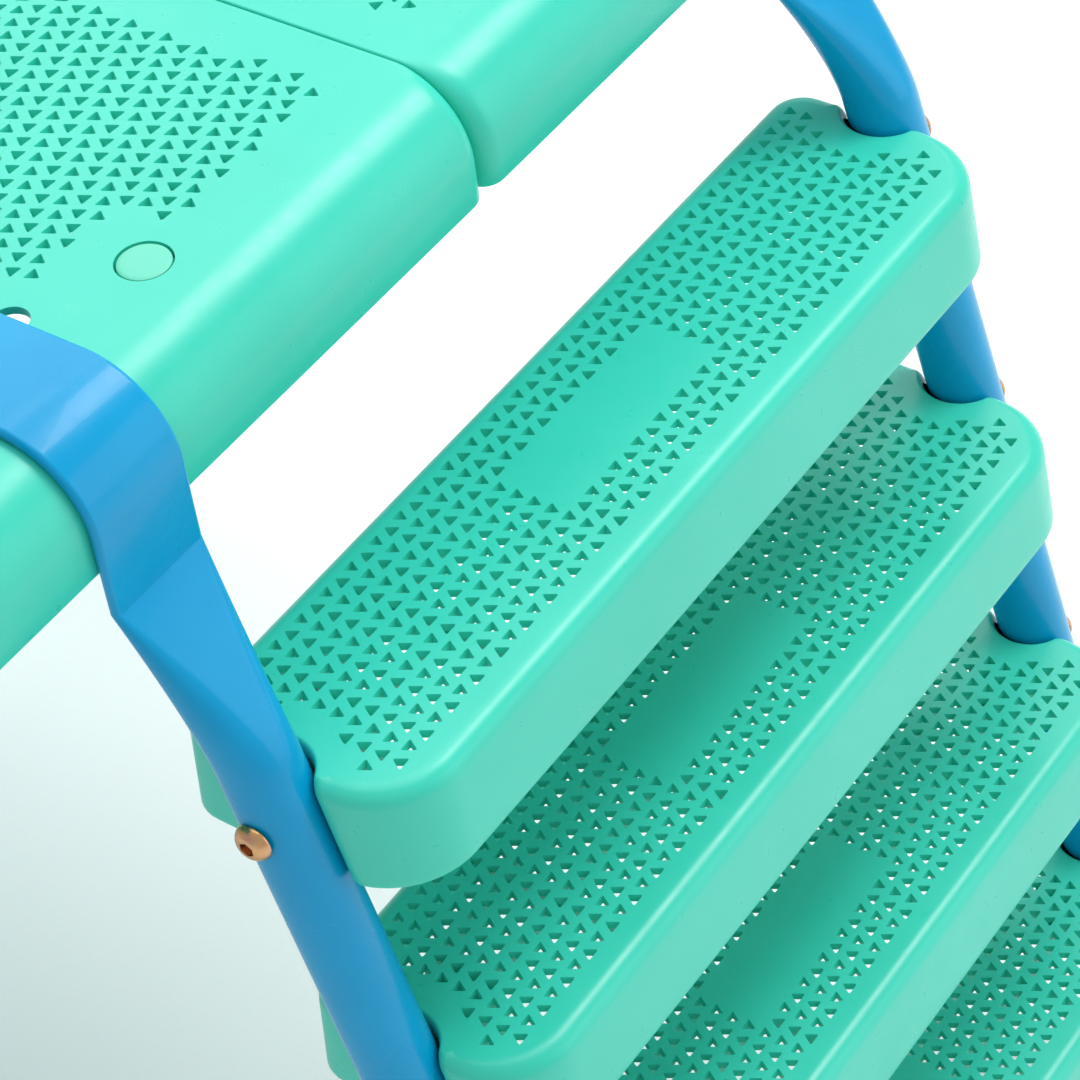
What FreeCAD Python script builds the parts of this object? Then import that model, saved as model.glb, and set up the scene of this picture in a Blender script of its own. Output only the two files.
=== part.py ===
"""Toddler slide: a leaning ladder with moulded treads, a two-part platform, side rails and a chute.

Millimetres, +Z up, +X to the right of a child climbing the ladder, +Y towards the chute.
The pieces are drawn with y = 0 on the platform's rear face and then moved together, so that the
origin of the finished part lies on the floor, at the middle of its footprint.
"""
import FreeCAD
import Part
import math
import os

# ---- Tubes and fasteners -------------------------------------------------------------------
TUBE_DIAMETER = 28.0
TUBE_WALL = 1.5
BOLT_DIAMETER = 8.0
BOLT_HOLE = 8.6
BOLT_HEAD_DIAMETER = 14.0
BOLT_HEAD_HEIGHT = 4.4
BOLT_SOCKET = 5.0            # across the flats of the hexagon socket
BOLT_SOCKET_DEPTH = 2.6
NUT_ACROSS_FLATS = 13.0
NUT_HEIGHT = 6.5
THREAD_CLEARANCE = 0.05      # between a plain shank and the nut or insert it screws into
BOLT_TIP = 1.5               # length of a shank past its nut
SCREW_DIAMETER = 6.0
SCREW_HOLE = 6.6
SCREW_HEAD_DIAMETER = 12.0
SCREW_HEAD_HEIGHT = 3.4
SCREW_NUT_ACROSS_FLATS = 10.0
SCREW_NUT_HEIGHT = 5.0
INSERT_LENGTH = 18.0
INSERT_CLEARANCE = 0.1       # between a threaded insert and the bore of its tube
SEAT_GAP = 0.2               # between two pieces that rest on each other
CAP_FLANGE = 2.5
CAP_SPIGOT = 12.0

# ---- Ladder ----------------------------------------------------------------------------------
STEP_COUNT = 4
STEP_RISE = 120.0
LADDER_LEAN = 14.2           # degrees from upright
LADDER_SPACING = 379.0       # between the axes of the two ladder tubes
STRAIGHT_TOP = 55.0          # round part of a ladder tube above the highest tread
HOOK_THICKNESS = 4.0
HOOK_WIDTH = 44.0
HOOK_BOLT_INSET = 22.0       # from the end of the hook to its bolt
HOOK_BOLT_CLEARANCE = 4.4    # from the insert in a side bearer to the axis of the hook's bolt
FORGED_LAP = 0.4             # how far inside its neighbours' faces the flattened stretch starts
FORGED_OVERLAP = 1.5         # how far it runs into them

# ---- Treads ----------------------------------------------------------------------------------
STEP_END_INSET = 2.5         # from a ladder tube's axis in to the end of a tread
STEP_FRONT = 51.0            # from the tube axis forward to the front wall, at the tread
STEP_BACK = 40.0             # from the tube axis back to the rear wall, at the tread
STEP_SKIRT = 40.0
STEP_DRAFT = 3.5             # how much the skirt spreads from top to bottom
STEP_WALL = 2.8
STEP_EDGE_RADIUS = 6.5
STEP_FRONT_CORNER = 32.0
STEP_BACK_CORNER = 14.0
NOTCH_CLEARANCE = 1.2
NOTCH_MOUTH = 5.0            # how far the notch opens out at the tread
STEP_BOLT_DROP = 17.0        # from the tread down to the bolt axis
STEP_BOSS_LENGTH = 26.0
STEP_BOSS_WIDTH = 24.0
STEP_RIB = 2.4
STEP_RIB_DEPTH = 12.0
STEP_CROSS_RIBS = (37.8, 106.6)   # distance of the cross ribs from the middle of the tread
STEP_LONG_RIBS = (-10.0, 11.6)    # distance of the long ribs behind the tube axis

# ---- Platform --------------------------------------------------------------------------------
PLATFORM_RISE = 126.0        # highest tread to platform top
PLATFORM_OVERHANG = 100.5    # from a ladder tube's axis out to the platform's side
PLATFORM_DEPTH = 430.0
PLATFORM_SKIRT = 44.0
PLATFORM_WALL = 3.0
PLATFORM_REAR_RADIUS = 28.0
PLATFORM_FRONT_RADIUS = 12.0
PLATFORM_SIDE_RADIUS = 12.0
PLATFORM_OUTER_CORNER = 28.0
PLATFORM_SEAM_CORNER = 8.0
SEAM_GAP = 0.6
BOSS_DIAMETER = 26.0
BOSS_DROP = 8.0              # from the underside of the platform to the tubes that carry it
PLUG_DIAMETER = 18.0
PLUG_THICKNESS = 3.0
DRAIN_DIAMETER = 13.0
DRAIN_INSET = 28.0           # from a ladder tube's axis in to the drain hole
DRAIN_Y = 60.3
PLUG_X = 119.6
OUTER_PLUG_OUTSET = 56.5     # from a ladder tube's axis out to the outer screws
SEAM_BOLTS = (110.0, 215.0, 320.0)   # distance of the seam bolts from the rear face
SEAM_BOLT_RISE = 16.0        # from the skirt's lower edge to the seam bolts

# ---- Frame under the platform -----------------------------------------------------------------
CROSSBAR_INSET = 41.2        # from the platform's rear or front face to a crossbar's axis
LEG_OUTSET = 45.5            # from a ladder tube's axis out to a front leg's axis
LEG_LEAN = 14.2
LEG_TOP = 8.0                # how far a leg's upper end stands above the crossbar's axis
BRACE_HEIGHT = 250.0
FOOT_WALL = 3.0
FOOT_SOLE = 4.0
FOOT_HEIGHT = 42.0

# ---- Side rails -------------------------------------------------------------------------------
RAIL_HEIGHT = 320.0          # rail axis above the platform
RAIL_BEND = 90.0
RAIL_TAIL = 22.8             # from the bolts' axis down to the end of a rail's legs

# ---- Chute ------------------------------------------------------------------------------------
CHUTE_WALL = 4.0
CHUTE_BED_WIDTH = 330.0
CHUTE_SIDE_HEIGHT = 85.0
CHUTE_CORNER = 35.0
CHUTE_LIP = 24.0
CHUTE_LIP_DROP = 12.0
CHUTE_SLOPE = 33.0
CHUTE_HEAD_BEND = 150.0
CHUTE_EXIT_BEND = 300.0
CHUTE_HEAD_RUN = 20.0
CHUTE_RUN_OUT = 190.0
CHUTE_EXIT_HEIGHT = 110.0    # floor to the sliding surface at the exit
CHUTE_FLANGE = 72.0          # how far the head lies on the platform
CHUTE_HEAD_CUT = 80.0
CHUTE_EXIT_CUT = 50.0
CHUTE_BOLT_X = (60.0, 140.0)
FOOT_HOOP_INSET = 95.0       # from the exit end to the hoop that carries it
FOOT_HOOP_BEND = 45.0
FOOT_HOOP_TOP = 29.0         # from the top of the chute's rounded corners to the hoop's ends
FOOT_HOOP_BOLT = 12.0        # from the top of the chute's rounded corners to the hoop's bolts
FOOT_HOOP_NUT = 22.0
FOOT_HOOP_NUT_HEIGHT = 5.0

# ---- Derived -----------------------------------------------------------------------------------
TUBE_RADIUS = TUBE_DIAMETER / 2
LEAN_SLOPE = math.tan(math.radians(LADDER_LEAN))
TOP_TREAD = STEP_COUNT * STEP_RISE
PLATFORM_TOP = TOP_TREAD + PLATFORM_RISE
PLATFORM_BASE = PLATFORM_TOP - PLATFORM_SKIRT
HALF_SPACING = LADDER_SPACING / 2
HALF_STEP = HALF_SPACING - STEP_END_INSET
HOOK_BOLT_Y = CROSSBAR_INSET + TUBE_RADIUS + INSERT_LENGTH + HOOK_BOLT_CLEARANCE
HOOK_LENGTH = HOOK_BOLT_Y + HOOK_BOLT_INSET
HALF_PLATFORM = HALF_SPACING + PLATFORM_OVERHANG
OUTER_PLUG_X = HALF_SPACING + OUTER_PLUG_OUTSET
CROSSBAR_Z = PLATFORM_TOP - PLATFORM_WALL - BOSS_DROP - SEAT_GAP - TUBE_RADIUS
REAR_BAR_Y = CROSSBAR_INSET
FRONT_BAR_Y = PLATFORM_DEPTH - CROSSBAR_INSET
CROSSBAR_END = HALF_PLATFORM - PLATFORM_WALL - SEAT_GAP
HALF_LEGS = HALF_SPACING + LEG_OUTSET
LEG_SLOPE = math.tan(math.radians(LEG_LEAN))
LEG_Y = FRONT_BAR_Y - (TUBE_DIAMETER + SEAT_GAP) / math.cos(math.radians(LEG_LEAN))
RAIL_X = HALF_PLATFORM + SEAT_GAP + TUBE_RADIUS
CHUTE_HEAD_Z = PLATFORM_TOP + SEAT_GAP + CHUTE_WALL
CHUTE_HEAD_Y = PLATFORM_DEPTH + 2.0
HALF_BED = CHUTE_BED_WIDTH / 2
CHUTE_OUTER = HALF_BED + CHUTE_WALL
HOOP_X = CHUTE_OUTER + SEAT_GAP + TUBE_RADIUS
SMALL = 0.01
LONG = 2000.0


def ladder_axis_y(height):
    """Distance of a ladder tube's axis behind the platform's rear face, at a height."""
    touch = (TUBE_RADIUS + SEAT_GAP) / math.cos(math.radians(LADDER_LEAN))
    return -touch + (height - PLATFORM_BASE) * LEAN_SLOPE


def leg_axis_y(height):
    """Y of a front leg's axis at a height."""
    return LEG_Y + (CROSSBAR_Z - height) * LEG_SLOPE


def chute_path_points():
    """Corner points and tangent lengths of the chute's line, as (y, z) pairs and lengths."""
    slope = math.radians(CHUTE_SLOPE)
    head = CHUTE_HEAD_BEND * math.tan(slope / 2)
    foot = CHUTE_EXIT_BEND * math.tan(slope / 2)
    y_head = CHUTE_HEAD_Y + CHUTE_HEAD_RUN + head
    y_foot = y_head + (CHUTE_HEAD_Z - CHUTE_EXIT_HEIGHT) / math.tan(slope)
    y_end = y_foot + foot + CHUTE_RUN_OUT
    return y_head, head, y_foot, foot, y_end


CHUTE_END_Y = chute_path_points()[4]
LADDER_FOOT_REAR = ladder_axis_y(0.0) - (TUBE_RADIUS + FOOT_WALL) / math.cos(math.radians(LADDER_LEAN))
LOWEST_STEP_REAR = ladder_axis_y(STEP_RISE) - STEP_FRONT - STEP_DRAFT
MIDDLE_Y = (CHUTE_END_Y + min(LADDER_FOOT_REAR, LOWEST_STEP_REAR)) / 2


# ---- Small shape helpers -----------------------------------------------------------------------
def vec(x, y, z):
    """Point or direction."""
    return FreeCAD.Vector(x, y, z)


X_AXIS = vec(1, 0, 0)
Y_AXIS = vec(0, 1, 0)
Z_AXIS = vec(0, 0, 1)


def cylinder(start, end, radius):
    """Round bar from one point to another."""
    return Part.makeCylinder(radius, (end - start).Length, start, end - start)


def tube(start, end, radius=TUBE_RADIUS, wall=TUBE_WALL):
    """Round tube from one point to another."""
    along = (end - start).normalize()
    bore = cylinder(start - along, end + along, radius - wall)
    return cylinder(start, end, radius).cut(bore)


def block(x, y, z):
    """Box from three (low, high) pairs."""
    return Part.makeBox(x[1] - x[0], y[1] - y[0], z[1] - z[0], vec(x[0], y[0], z[0]))


def profile_x(points, x0, x1):
    """Closed polygon of (y, z) points, drawn out along X."""
    corners = [vec(x0, y, z) for y, z in points]
    face = Part.Face(Part.makePolygon(corners + corners[:1]))
    return face.extrude(vec(x1 - x0, 0, 0))


def mirrored(shape):
    """The same shape on the other side of the middle plane."""
    return shape.mirror(vec(0, 0, 0), X_AXIS)


def both_sides(shape):
    """A shape and its mirror image, as separate solids."""
    return Part.makeCompound(solids_of(shape) + solids_of(mirrored(shape)))


def solids_of(shape):
    """List of the solids in a shape."""
    return list(shape.Solids)


def hexagon(centre, direction, across_flats, height):
    """Hexagonal prism from a centre along a direction."""
    circle = Part.Circle(centre, direction, across_flats / math.sqrt(3))
    corners = [circle.value(math.radians(60 * k)) for k in range(7)]
    return Part.Face(Part.makePolygon(corners)).extrude(direction.normalize() * height)


def button_bolt(seat, direction, length, shank=BOLT_DIAMETER,
                head=BOLT_HEAD_DIAMETER, head_height=BOLT_HEAD_HEIGHT):
    """Button-head bolt: its head stands on the seat, its shank goes along the direction."""
    inward = vec(direction.x, direction.y, direction.z).normalize()
    crown = seat - inward * head_height
    half = head / 2
    rise = head_height * 0.84
    ball = (half * half + rise * rise) / (2 * rise)
    centre = seat + inward * (ball - head_height * 1.1)
    dome = cylinder(seat, crown, half).common(Part.makeSphere(ball, centre))
    socket = hexagon(crown, inward, BOLT_SOCKET * head / BOLT_HEAD_DIAMETER, BOLT_SOCKET_DEPTH)
    return dome.fuse(cylinder(seat, seat + inward * length, shank / 2)).cut(socket).removeSplitter()


def nut(seat, direction, across_flats=NUT_ACROSS_FLATS, height=NUT_HEIGHT, bolt=BOLT_DIAMETER):
    """Hexagon nut that bears on the seat and stands along the direction."""
    outward = vec(direction.x, direction.y, direction.z).normalize()
    body = hexagon(seat, outward, across_flats, height)
    bore = cylinder(seat - outward, seat + outward * (height + 1), bolt / 2 + THREAD_CLEARANCE)
    return body.cut(bore)


def insert(mouth, direction):
    """Threaded insert pressed into the end of a tube."""
    inward = vec(direction.x, direction.y, direction.z).normalize()
    radius = TUBE_RADIUS - TUBE_WALL - INSERT_CLEARANCE
    bore = cylinder(mouth - inward, mouth + inward * (INSERT_LENGTH + 1),
                    BOLT_DIAMETER / 2 + THREAD_CLEARANCE)
    return cylinder(mouth, mouth + inward * INSERT_LENGTH, radius).cut(bore)


def rounded_plan(x0, x1, y0, y1, front, back):
    """Wire of a rectangle with one radius at its front (low y) corners and one at its back."""
    corners = [(x0, y0, front, 180), (x1, y0, front, 270), (x1, y1, back, 0), (x0, y1, back, 90)]
    edges = []
    ends = []
    for x, y, radius, start in corners:
        centre = vec(x + math.copysign(radius, (x0 + x1) / 2 - x),
                     y + math.copysign(radius, (y0 + y1) / 2 - y), 0)
        on_arc = [centre + vec(math.cos(math.radians(a)), math.sin(math.radians(a)), 0) * radius
                  for a in (start, start + 45, start + 90)]
        ends.append((on_arc[0], on_arc[2], Part.Arc(*on_arc).toShape()))
    for k, (first, last, arc) in enumerate(ends):
        edges.append(arc)
        edges.append(Part.makeLine(last, ends[(k + 1) % 4][0]))
    return Part.Wire(edges)


# ---- Treads -------------------------------------------------------------------------------------
def tread_body(inset, top, bottom):
    """Solid of the tread's outer shape, drawn in by an inset, between two depths."""
    def plan(depth):
        grow = STEP_DRAFT * depth / STEP_SKIRT - inset
        wire = rounded_plan(-HALF_STEP - grow / 2, HALF_STEP + grow / 2, -STEP_FRONT - grow,
                            STEP_BACK + grow / 2, STEP_FRONT_CORNER - inset,
                            STEP_BACK_CORNER - inset)
        wire.translate(vec(0, 0, -depth))
        return wire
    return Part.makeLoft([plan(top), plan(bottom)], True, True)


def notch(side, wall):
    """Space for a ladder tube at one end of a tread; wall widens it for the moulded wall."""
    end = side * HALF_SPACING
    radius = TUBE_RADIUS + NOTCH_CLEARANCE + wall
    low = vec(end, -(STEP_SKIRT + 20) * LEAN_SLOPE, -(STEP_SKIRT + 20))
    high = vec(end, 20 * LEAN_SLOPE, 20)
    mouth = Part.makeCone(radius, radius + NOTCH_MOUTH, NOTCH_MOUTH,
                          vec(end, 0, -NOTCH_MOUTH - wall), Z_AXIS)
    return cylinder(low, high, radius).fuse(mouth)


def step_bolt_seats(side):
    """Bolt axis point on the tube's outer side, at one end of a tread."""
    return vec(side * (HALF_SPACING + TUBE_RADIUS), -STEP_BOLT_DROP * LEAN_SLOPE, -STEP_BOLT_DROP)


def nut_seat_x():
    """Distance from the middle of a tread to the face that its nuts bear on."""
    return HALF_SPACING - TUBE_RADIUS - NOTCH_CLEARANCE - 14.0


def make_tread():
    """One tread, with the tube axis at x = +-HALF_SPACING, y = 0 and its top at z = 0."""
    outer = tread_body(0.0, 0.0, STEP_SKIRT)
    rim = [e for e in outer.Edges if e.BoundBox.ZMin > -SMALL and e.BoundBox.ZMax < SMALL]
    outer = outer.makeFillet(STEP_EDGE_RADIUS, rim)
    hollow = tread_body(STEP_WALL, STEP_WALL, STEP_SKIRT + 1)
    bolt_y = -STEP_BOLT_DROP * LEAN_SLOPE
    additions = []
    for side in (-1, 1):
        hollow = hollow.cut(notch(side, STEP_WALL))
        inner = side * (nut_seat_x() - STEP_BOSS_LENGTH + 14.0)
        outer_x = side * (HALF_SPACING - TUBE_RADIUS + 2)
        additions.append(block(sorted((inner, outer_x)),
                               (bolt_y - STEP_BOSS_WIDTH / 2, bolt_y + STEP_BOSS_WIDTH / 2),
                               (-STEP_BOLT_DROP - STEP_BOSS_WIDTH / 2, -STEP_WALL / 2)))
        for x in STEP_CROSS_RIBS:
            additions.append(block((side * x - STEP_RIB / 2, side * x + STEP_RIB / 2),
                                   (-STEP_FRONT, STEP_BACK),
                                   (-STEP_WALL - STEP_RIB_DEPTH, -STEP_WALL / 2)))
    rib_end = nut_seat_x() - STEP_BOSS_LENGTH + 20
    for y in STEP_LONG_RIBS:
        additions.append(block((-rib_end, rib_end), (y - STEP_RIB / 2, y + STEP_RIB / 2),
                               (-STEP_WALL - STEP_RIB_DEPTH, -STEP_WALL / 2)))
    inside = additions[0].multiFuse(additions[1:]).common(tread_body(STEP_WALL / 2, 0.5, STEP_SKIRT))
    tread = outer.cut(hollow).fuse(inside)
    for side in (-1, 1):
        seat = step_bolt_seats(side)
        middle = vec(0, seat.y, seat.z)
        pocket_start = vec(side * (nut_seat_x()), seat.y, seat.z)
        pocket = hexagon(pocket_start, middle - seat, NUT_ACROSS_FLATS + 0.4, STEP_BOSS_LENGTH)
        tread = tread.cut(notch(side, 0.0))
        tread = tread.cut(cylinder(seat, middle, BOLT_HOLE / 2))
        tread = tread.cut(pocket)
    return tread.removeSplitter()


def place_on_step(shape, number):
    """Copy of a shape drawn at the tread's origin, moved to one of the steps."""
    height = number * STEP_RISE
    copy = shape.copy()
    copy.translate(vec(0, ladder_axis_y(height), height))
    return copy


def make_step_fasteners():
    """Bolts and nuts that hold all treads: two of each for every step."""
    bolts = []
    nuts = []
    for number in range(1, STEP_COUNT + 1):
        for side in (-1, 1):
            seat = step_bolt_seats(side)
            inward = vec(-side, 0, 0)
            length = abs(seat.x) - nut_seat_x() + NUT_HEIGHT + BOLT_TIP
            bolts.append(place_on_step(button_bolt(seat, inward, length), number))
            bearing = vec(side * (nut_seat_x() - SEAT_GAP), seat.y, seat.z)
            nuts.append(place_on_step(nut(bearing, inward), number))
    return Part.makeCompound(bolts), Part.makeCompound(nuts)


# ---- Ladder tubes ---------------------------------------------------------------------------------
def flattening(x):
    """Part of a ladder tube that goes over from round to flat."""
    start = TOP_TREAD + STRAIGHT_TOP - FORGED_OVERLAP
    end = PLATFORM_TOP - PLATFORM_REAR_RADIUS + FORGED_OVERLAP
    round_radius = TUBE_RADIUS - FORGED_LAP
    flat_y = -SEAT_GAP - HOOK_THICKNESS / 2
    shares = (0.0, 0.4, 0.8, 1.0)
    wires = []
    for share in shares:
        ease = share * share * (3 - 2 * share)
        half_width = round_radius + SMALL + (HOOK_WIDTH / 2 - TUBE_RADIUS) * ease
        half_depth = round_radius + (HOOK_THICKNESS / 2 - TUBE_RADIUS) * ease
        height = start + (end - start) * share
        y = ladder_axis_y(height) * (1 - ease) + flat_y * ease
        lean = math.radians(LADDER_LEAN) * (1 - share)
        centre = vec(x, y, height)
        across = centre + vec(half_width, 0, 0)
        deep = centre + vec(0, math.cos(lean), -math.sin(lean)) * half_depth
        wires.append(Part.Wire(Part.Ellipse(across, deep, centre).toShape()))
    return Part.makeLoft(wires, True, False)


def hook(x):
    """Flat end of a ladder tube, bent over the platform's rear edge, with a round tip."""
    inner = PLATFORM_REAR_RADIUS + SEAT_GAP
    outer = inner + HOOK_THICKNESS
    centre = (PLATFORM_REAR_RADIUS, PLATFORM_TOP - PLATFORM_REAR_RADIUS)
    x0 = x - HOOK_WIDTH / 2

    def at(radius, degrees):
        turn = math.radians(degrees)
        return vec(x0, centre[0] + radius * math.cos(turn), centre[1] + radius * math.sin(turn))
    tip_low = vec(x0, HOOK_LENGTH, centre[1] + inner)
    tip_high = vec(x0, HOOK_LENGTH, centre[1] + outer)
    edges = [Part.Arc(at(inner, 180), at(inner, 135), at(inner, 90)).toShape(),
             Part.makeLine(at(inner, 90), tip_low),
             Part.makeLine(tip_low, tip_high),
             Part.makeLine(tip_high, at(outer, 90)),
             Part.Arc(at(outer, 90), at(outer, 135), at(outer, 180)).toShape(),
             Part.makeLine(at(outer, 180), at(inner, 180))]
    strip = Part.Face(Part.Wire(edges)).extrude(vec(HOOK_WIDTH, 0, 0))
    round_y = HOOK_LENGTH - HOOK_WIDTH / 2
    keep = block((x0 - 1, x0 + HOOK_WIDTH + 1), (-50, round_y), (0, PLATFORM_TOP + 50))
    tip = Part.makeCylinder(HOOK_WIDTH / 2, 100, vec(x, round_y, PLATFORM_TOP - 50), Z_AXIS)
    return strip.common(keep.fuse(tip))


def make_ladder_tube(side):
    """One ladder tube: round from the foot up, then flattened and hooked over the platform."""
    x = side * HALF_SPACING
    top = TOP_TREAD + STRAIGHT_TOP
    foot = vec(x, ladder_axis_y(-20), -20)
    floor = block((-LONG, LONG), (-LONG, LONG), (-100, FOOT_SOLE))
    joint = vec(x, ladder_axis_y(top), top)
    shape = tube(foot, joint).cut(floor)
    shape = shape.fuse(flattening(x)).fuse(hook(x))
    for number in range(1, STEP_COUNT + 1):
        height = number * STEP_RISE
        seat = step_bolt_seats(side) + vec(0, ladder_axis_y(height), height)
        across = vec(side * (BOLT_HEAD_DIAMETER + TUBE_DIAMETER), 0, 0)
        shape = shape.cut(cylinder(seat + across, seat - across, BOLT_HOLE / 2))
    return shape.cut(cylinder(vec(x, HOOK_BOLT_Y, PLATFORM_TOP - 20),
                              vec(x, HOOK_BOLT_Y, PLATFORM_TOP + 20), BOLT_HOLE / 2))


def make_foot(x, axis_y):
    """Foot cap round the lower end of a leaning tube, flat on the floor."""
    low = vec(x, axis_y(-20), -20)
    high = vec(x, axis_y(FOOT_HEIGHT), FOOT_HEIGHT)
    floor = block((-LONG, LONG), (-LONG, LONG), (-200, 0))
    sole = block((-LONG, LONG), (-LONG, LONG), (-200, FOOT_SOLE - SEAT_GAP))
    cup = cylinder(low, high, TUBE_RADIUS + FOOT_WALL).cut(floor)
    over = high + (high - low)
    socket = cylinder(low, over, TUBE_RADIUS + INSERT_CLEARANCE).cut(sole)
    return cup.cut(socket)


# ---- Platform ---------------------------------------------------------------------------------------
def platform_mass(inset, top, bottom):
    """Solid of the left half's outer shape, drawn in by an inset."""
    x0 = -HALF_PLATFORM + inset
    x1 = -SEAM_GAP / 2 - inset
    y0 = inset
    y1 = PLATFORM_DEPTH - inset
    outer = PLATFORM_OUTER_CORNER - inset
    seam = PLATFORM_SEAM_CORNER - inset
    uprights = {"outer": [], "seam": []}
    plain = block((x0, x1), (y0, y1), (bottom, top))
    for edge in plain.Edges:
        box = edge.BoundBox
        if box.ZLength > (top - bottom) / 2:
            uprights["outer" if box.XMax < (x0 + x1) / 2 else "seam"].append(edge)
    body = plain.makeFillet(outer, uprights["outer"])
    corners = [e for e in body.Edges
               if e.BoundBox.ZLength > (top - bottom) / 2 and e.BoundBox.XMin > x1 - SMALL]
    body = body.makeFillet(seam, corners)
    side_view = edge_round(y0, y1, top, bottom, PLATFORM_REAR_RADIUS - inset,
                           PLATFORM_FRONT_RADIUS - inset)
    across = side_view.extrude(vec(LONG, 0, 0))
    across.translate(vec(-LONG / 2, 0, 0))
    end_view = edge_round(x0, x1, top, bottom, PLATFORM_SIDE_RADIUS - inset, 0.0)
    end_view.rotate(vec(0, 0, 0), Z_AXIS, -90)
    along = end_view.extrude(vec(0, LONG, 0))
    along.translate(vec(0, -LONG / 2, 0))
    return body.common(across).common(along)


def edge_round(low, high, top, bottom, low_radius, high_radius):
    """Face in the YZ plane: a rectangle with its two upper corners rounded."""
    edges = []
    first = vec(0, low, bottom)
    last = vec(0, high, bottom)
    edges.append(Part.makeLine(last, first))
    left_start = vec(0, low, top - low_radius)
    edges.append(Part.makeLine(first, left_start))
    left_end = vec(0, low + low_radius, top)
    bend = low_radius * (1 - math.sqrt(0.5))
    edges.append(Part.Arc(left_start, vec(0, low + bend, top - bend), left_end).toShape())
    if high_radius > 0:
        right_start = vec(0, high - high_radius, top)
        right_end = vec(0, high, top - high_radius)
        bend = high_radius * (1 - math.sqrt(0.5))
        edges.append(Part.makeLine(left_end, right_start))
        edges.append(Part.Arc(right_start, vec(0, high - bend, top - bend), right_end).toShape())
    else:
        right_end = vec(0, high, top)
        edges.append(Part.makeLine(left_end, right_end))
    edges.append(Part.makeLine(right_end, last))
    return Part.Face(Part.Wire(edges))


def plug_places():
    """Centres of the covered screws on one half: rear row, outer ones and front outer one."""
    return [(PLUG_X, REAR_BAR_Y), (OUTER_PLUG_X, REAR_BAR_Y), (OUTER_PLUG_X, FRONT_BAR_Y)]


def chute_bolt_places():
    """Centres of the bolts through the chute's head on one half."""
    return [(x, FRONT_BAR_Y) for x in CHUTE_BOLT_X]


def make_platform_left():
    """Left half of the platform: a moulded shell with bosses that stand on the frame."""
    under = PLATFORM_TOP - PLATFORM_WALL
    shell = platform_mass(0.0, PLATFORM_TOP, PLATFORM_BASE)
    shell = shell.cut(platform_mass(PLATFORM_WALL, under, PLATFORM_BASE - 1))
    places = [(-x, y) for x, y in plug_places() + chute_bolt_places()]
    places.append((-HALF_SPACING, HOOK_BOLT_Y))
    for x, y in places:
        shell = shell.fuse(cylinder(vec(x, y, under - BOSS_DROP), vec(x, y, under + SMALL),
                                    BOSS_DIAMETER / 2))
    for x, y in places:
        hole = SCREW_HOLE if (-x, y) in plug_places() else BOLT_HOLE
        shell = shell.cut(cylinder(vec(x, y, under - 20), vec(x, y, PLATFORM_TOP + 5), hole / 2))
    for x, y in plug_places():
        floor = PLATFORM_TOP - PLUG_THICKNESS - SCREW_HEAD_HEIGHT - SEAT_GAP
        shell = shell.cut(cylinder(vec(-x, y, floor), vec(-x, y, PLATFORM_TOP + 5),
                                   PLUG_DIAMETER / 2 + SEAT_GAP))
    drain = vec(DRAIN_INSET - HALF_SPACING, DRAIN_Y, under - 5)
    shell = shell.cut(cylinder(drain, drain + vec(0, 0, 20), DRAIN_DIAMETER / 2))
    for y in SEAM_BOLTS:
        z = PLATFORM_BASE + SEAM_BOLT_RISE
        shell = shell.cut(cylinder(vec(-20, y, z), vec(5, y, z), SCREW_HOLE / 2))
    for y in (REAR_BAR_Y, FRONT_BAR_Y):
        for x in (-HALF_PLATFORM, 0.0):
            hole = BOLT_HOLE / 2 if x < 0 else TUBE_RADIUS + 1.0
            shell = shell.cut(cylinder(vec(x - 10, y, CROSSBAR_Z), vec(x + 10, y, CROSSBAR_Z), hole))
    return shell.removeSplitter()


def make_platform_fasteners():
    """Screws, nuts and plugs on both halves."""
    screws = []
    nuts = []
    plugs = []
    head_z = PLATFORM_TOP - PLUG_THICKNESS - SCREW_HEAD_HEIGHT
    nut_z = CROSSBAR_Z - TUBE_RADIUS - SEAT_GAP
    length = head_z - nut_z + SCREW_NUT_HEIGHT + BOLT_TIP / 2
    for side in (-1, 1):
        for x, y in plug_places():
            screws.append(button_bolt(vec(side * x, y, head_z), -Z_AXIS, length, SCREW_DIAMETER,
                                      SCREW_HEAD_DIAMETER, SCREW_HEAD_HEIGHT - SEAT_GAP))
            nuts.append(nut(vec(side * x, y, nut_z), -Z_AXIS, SCREW_NUT_ACROSS_FLATS,
                            SCREW_NUT_HEIGHT, SCREW_DIAMETER))
            plugs.append(Part.makeCylinder(PLUG_DIAMETER / 2, PLUG_THICKNESS,
                                           vec(side * x, y, PLATFORM_TOP - PLUG_THICKNESS)))
    return Part.makeCompound(screws), Part.makeCompound(nuts), Part.makeCompound(plugs)


def bolts_down(places, head_z):
    """Bolts from a seat height down through the frame tubes, with their nuts, on both sides."""
    nut_z = CROSSBAR_Z - TUBE_RADIUS - SEAT_GAP
    length = head_z - nut_z + NUT_HEIGHT + BOLT_TIP
    bolts = [button_bolt(vec(side * x, y, head_z), -Z_AXIS, length)
             for side in (-1, 1) for x, y in places]
    nuts = [nut(vec(side * x, y, nut_z), -Z_AXIS) for side in (-1, 1) for x, y in places]
    return Part.makeCompound(bolts), Part.makeCompound(nuts)


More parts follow.
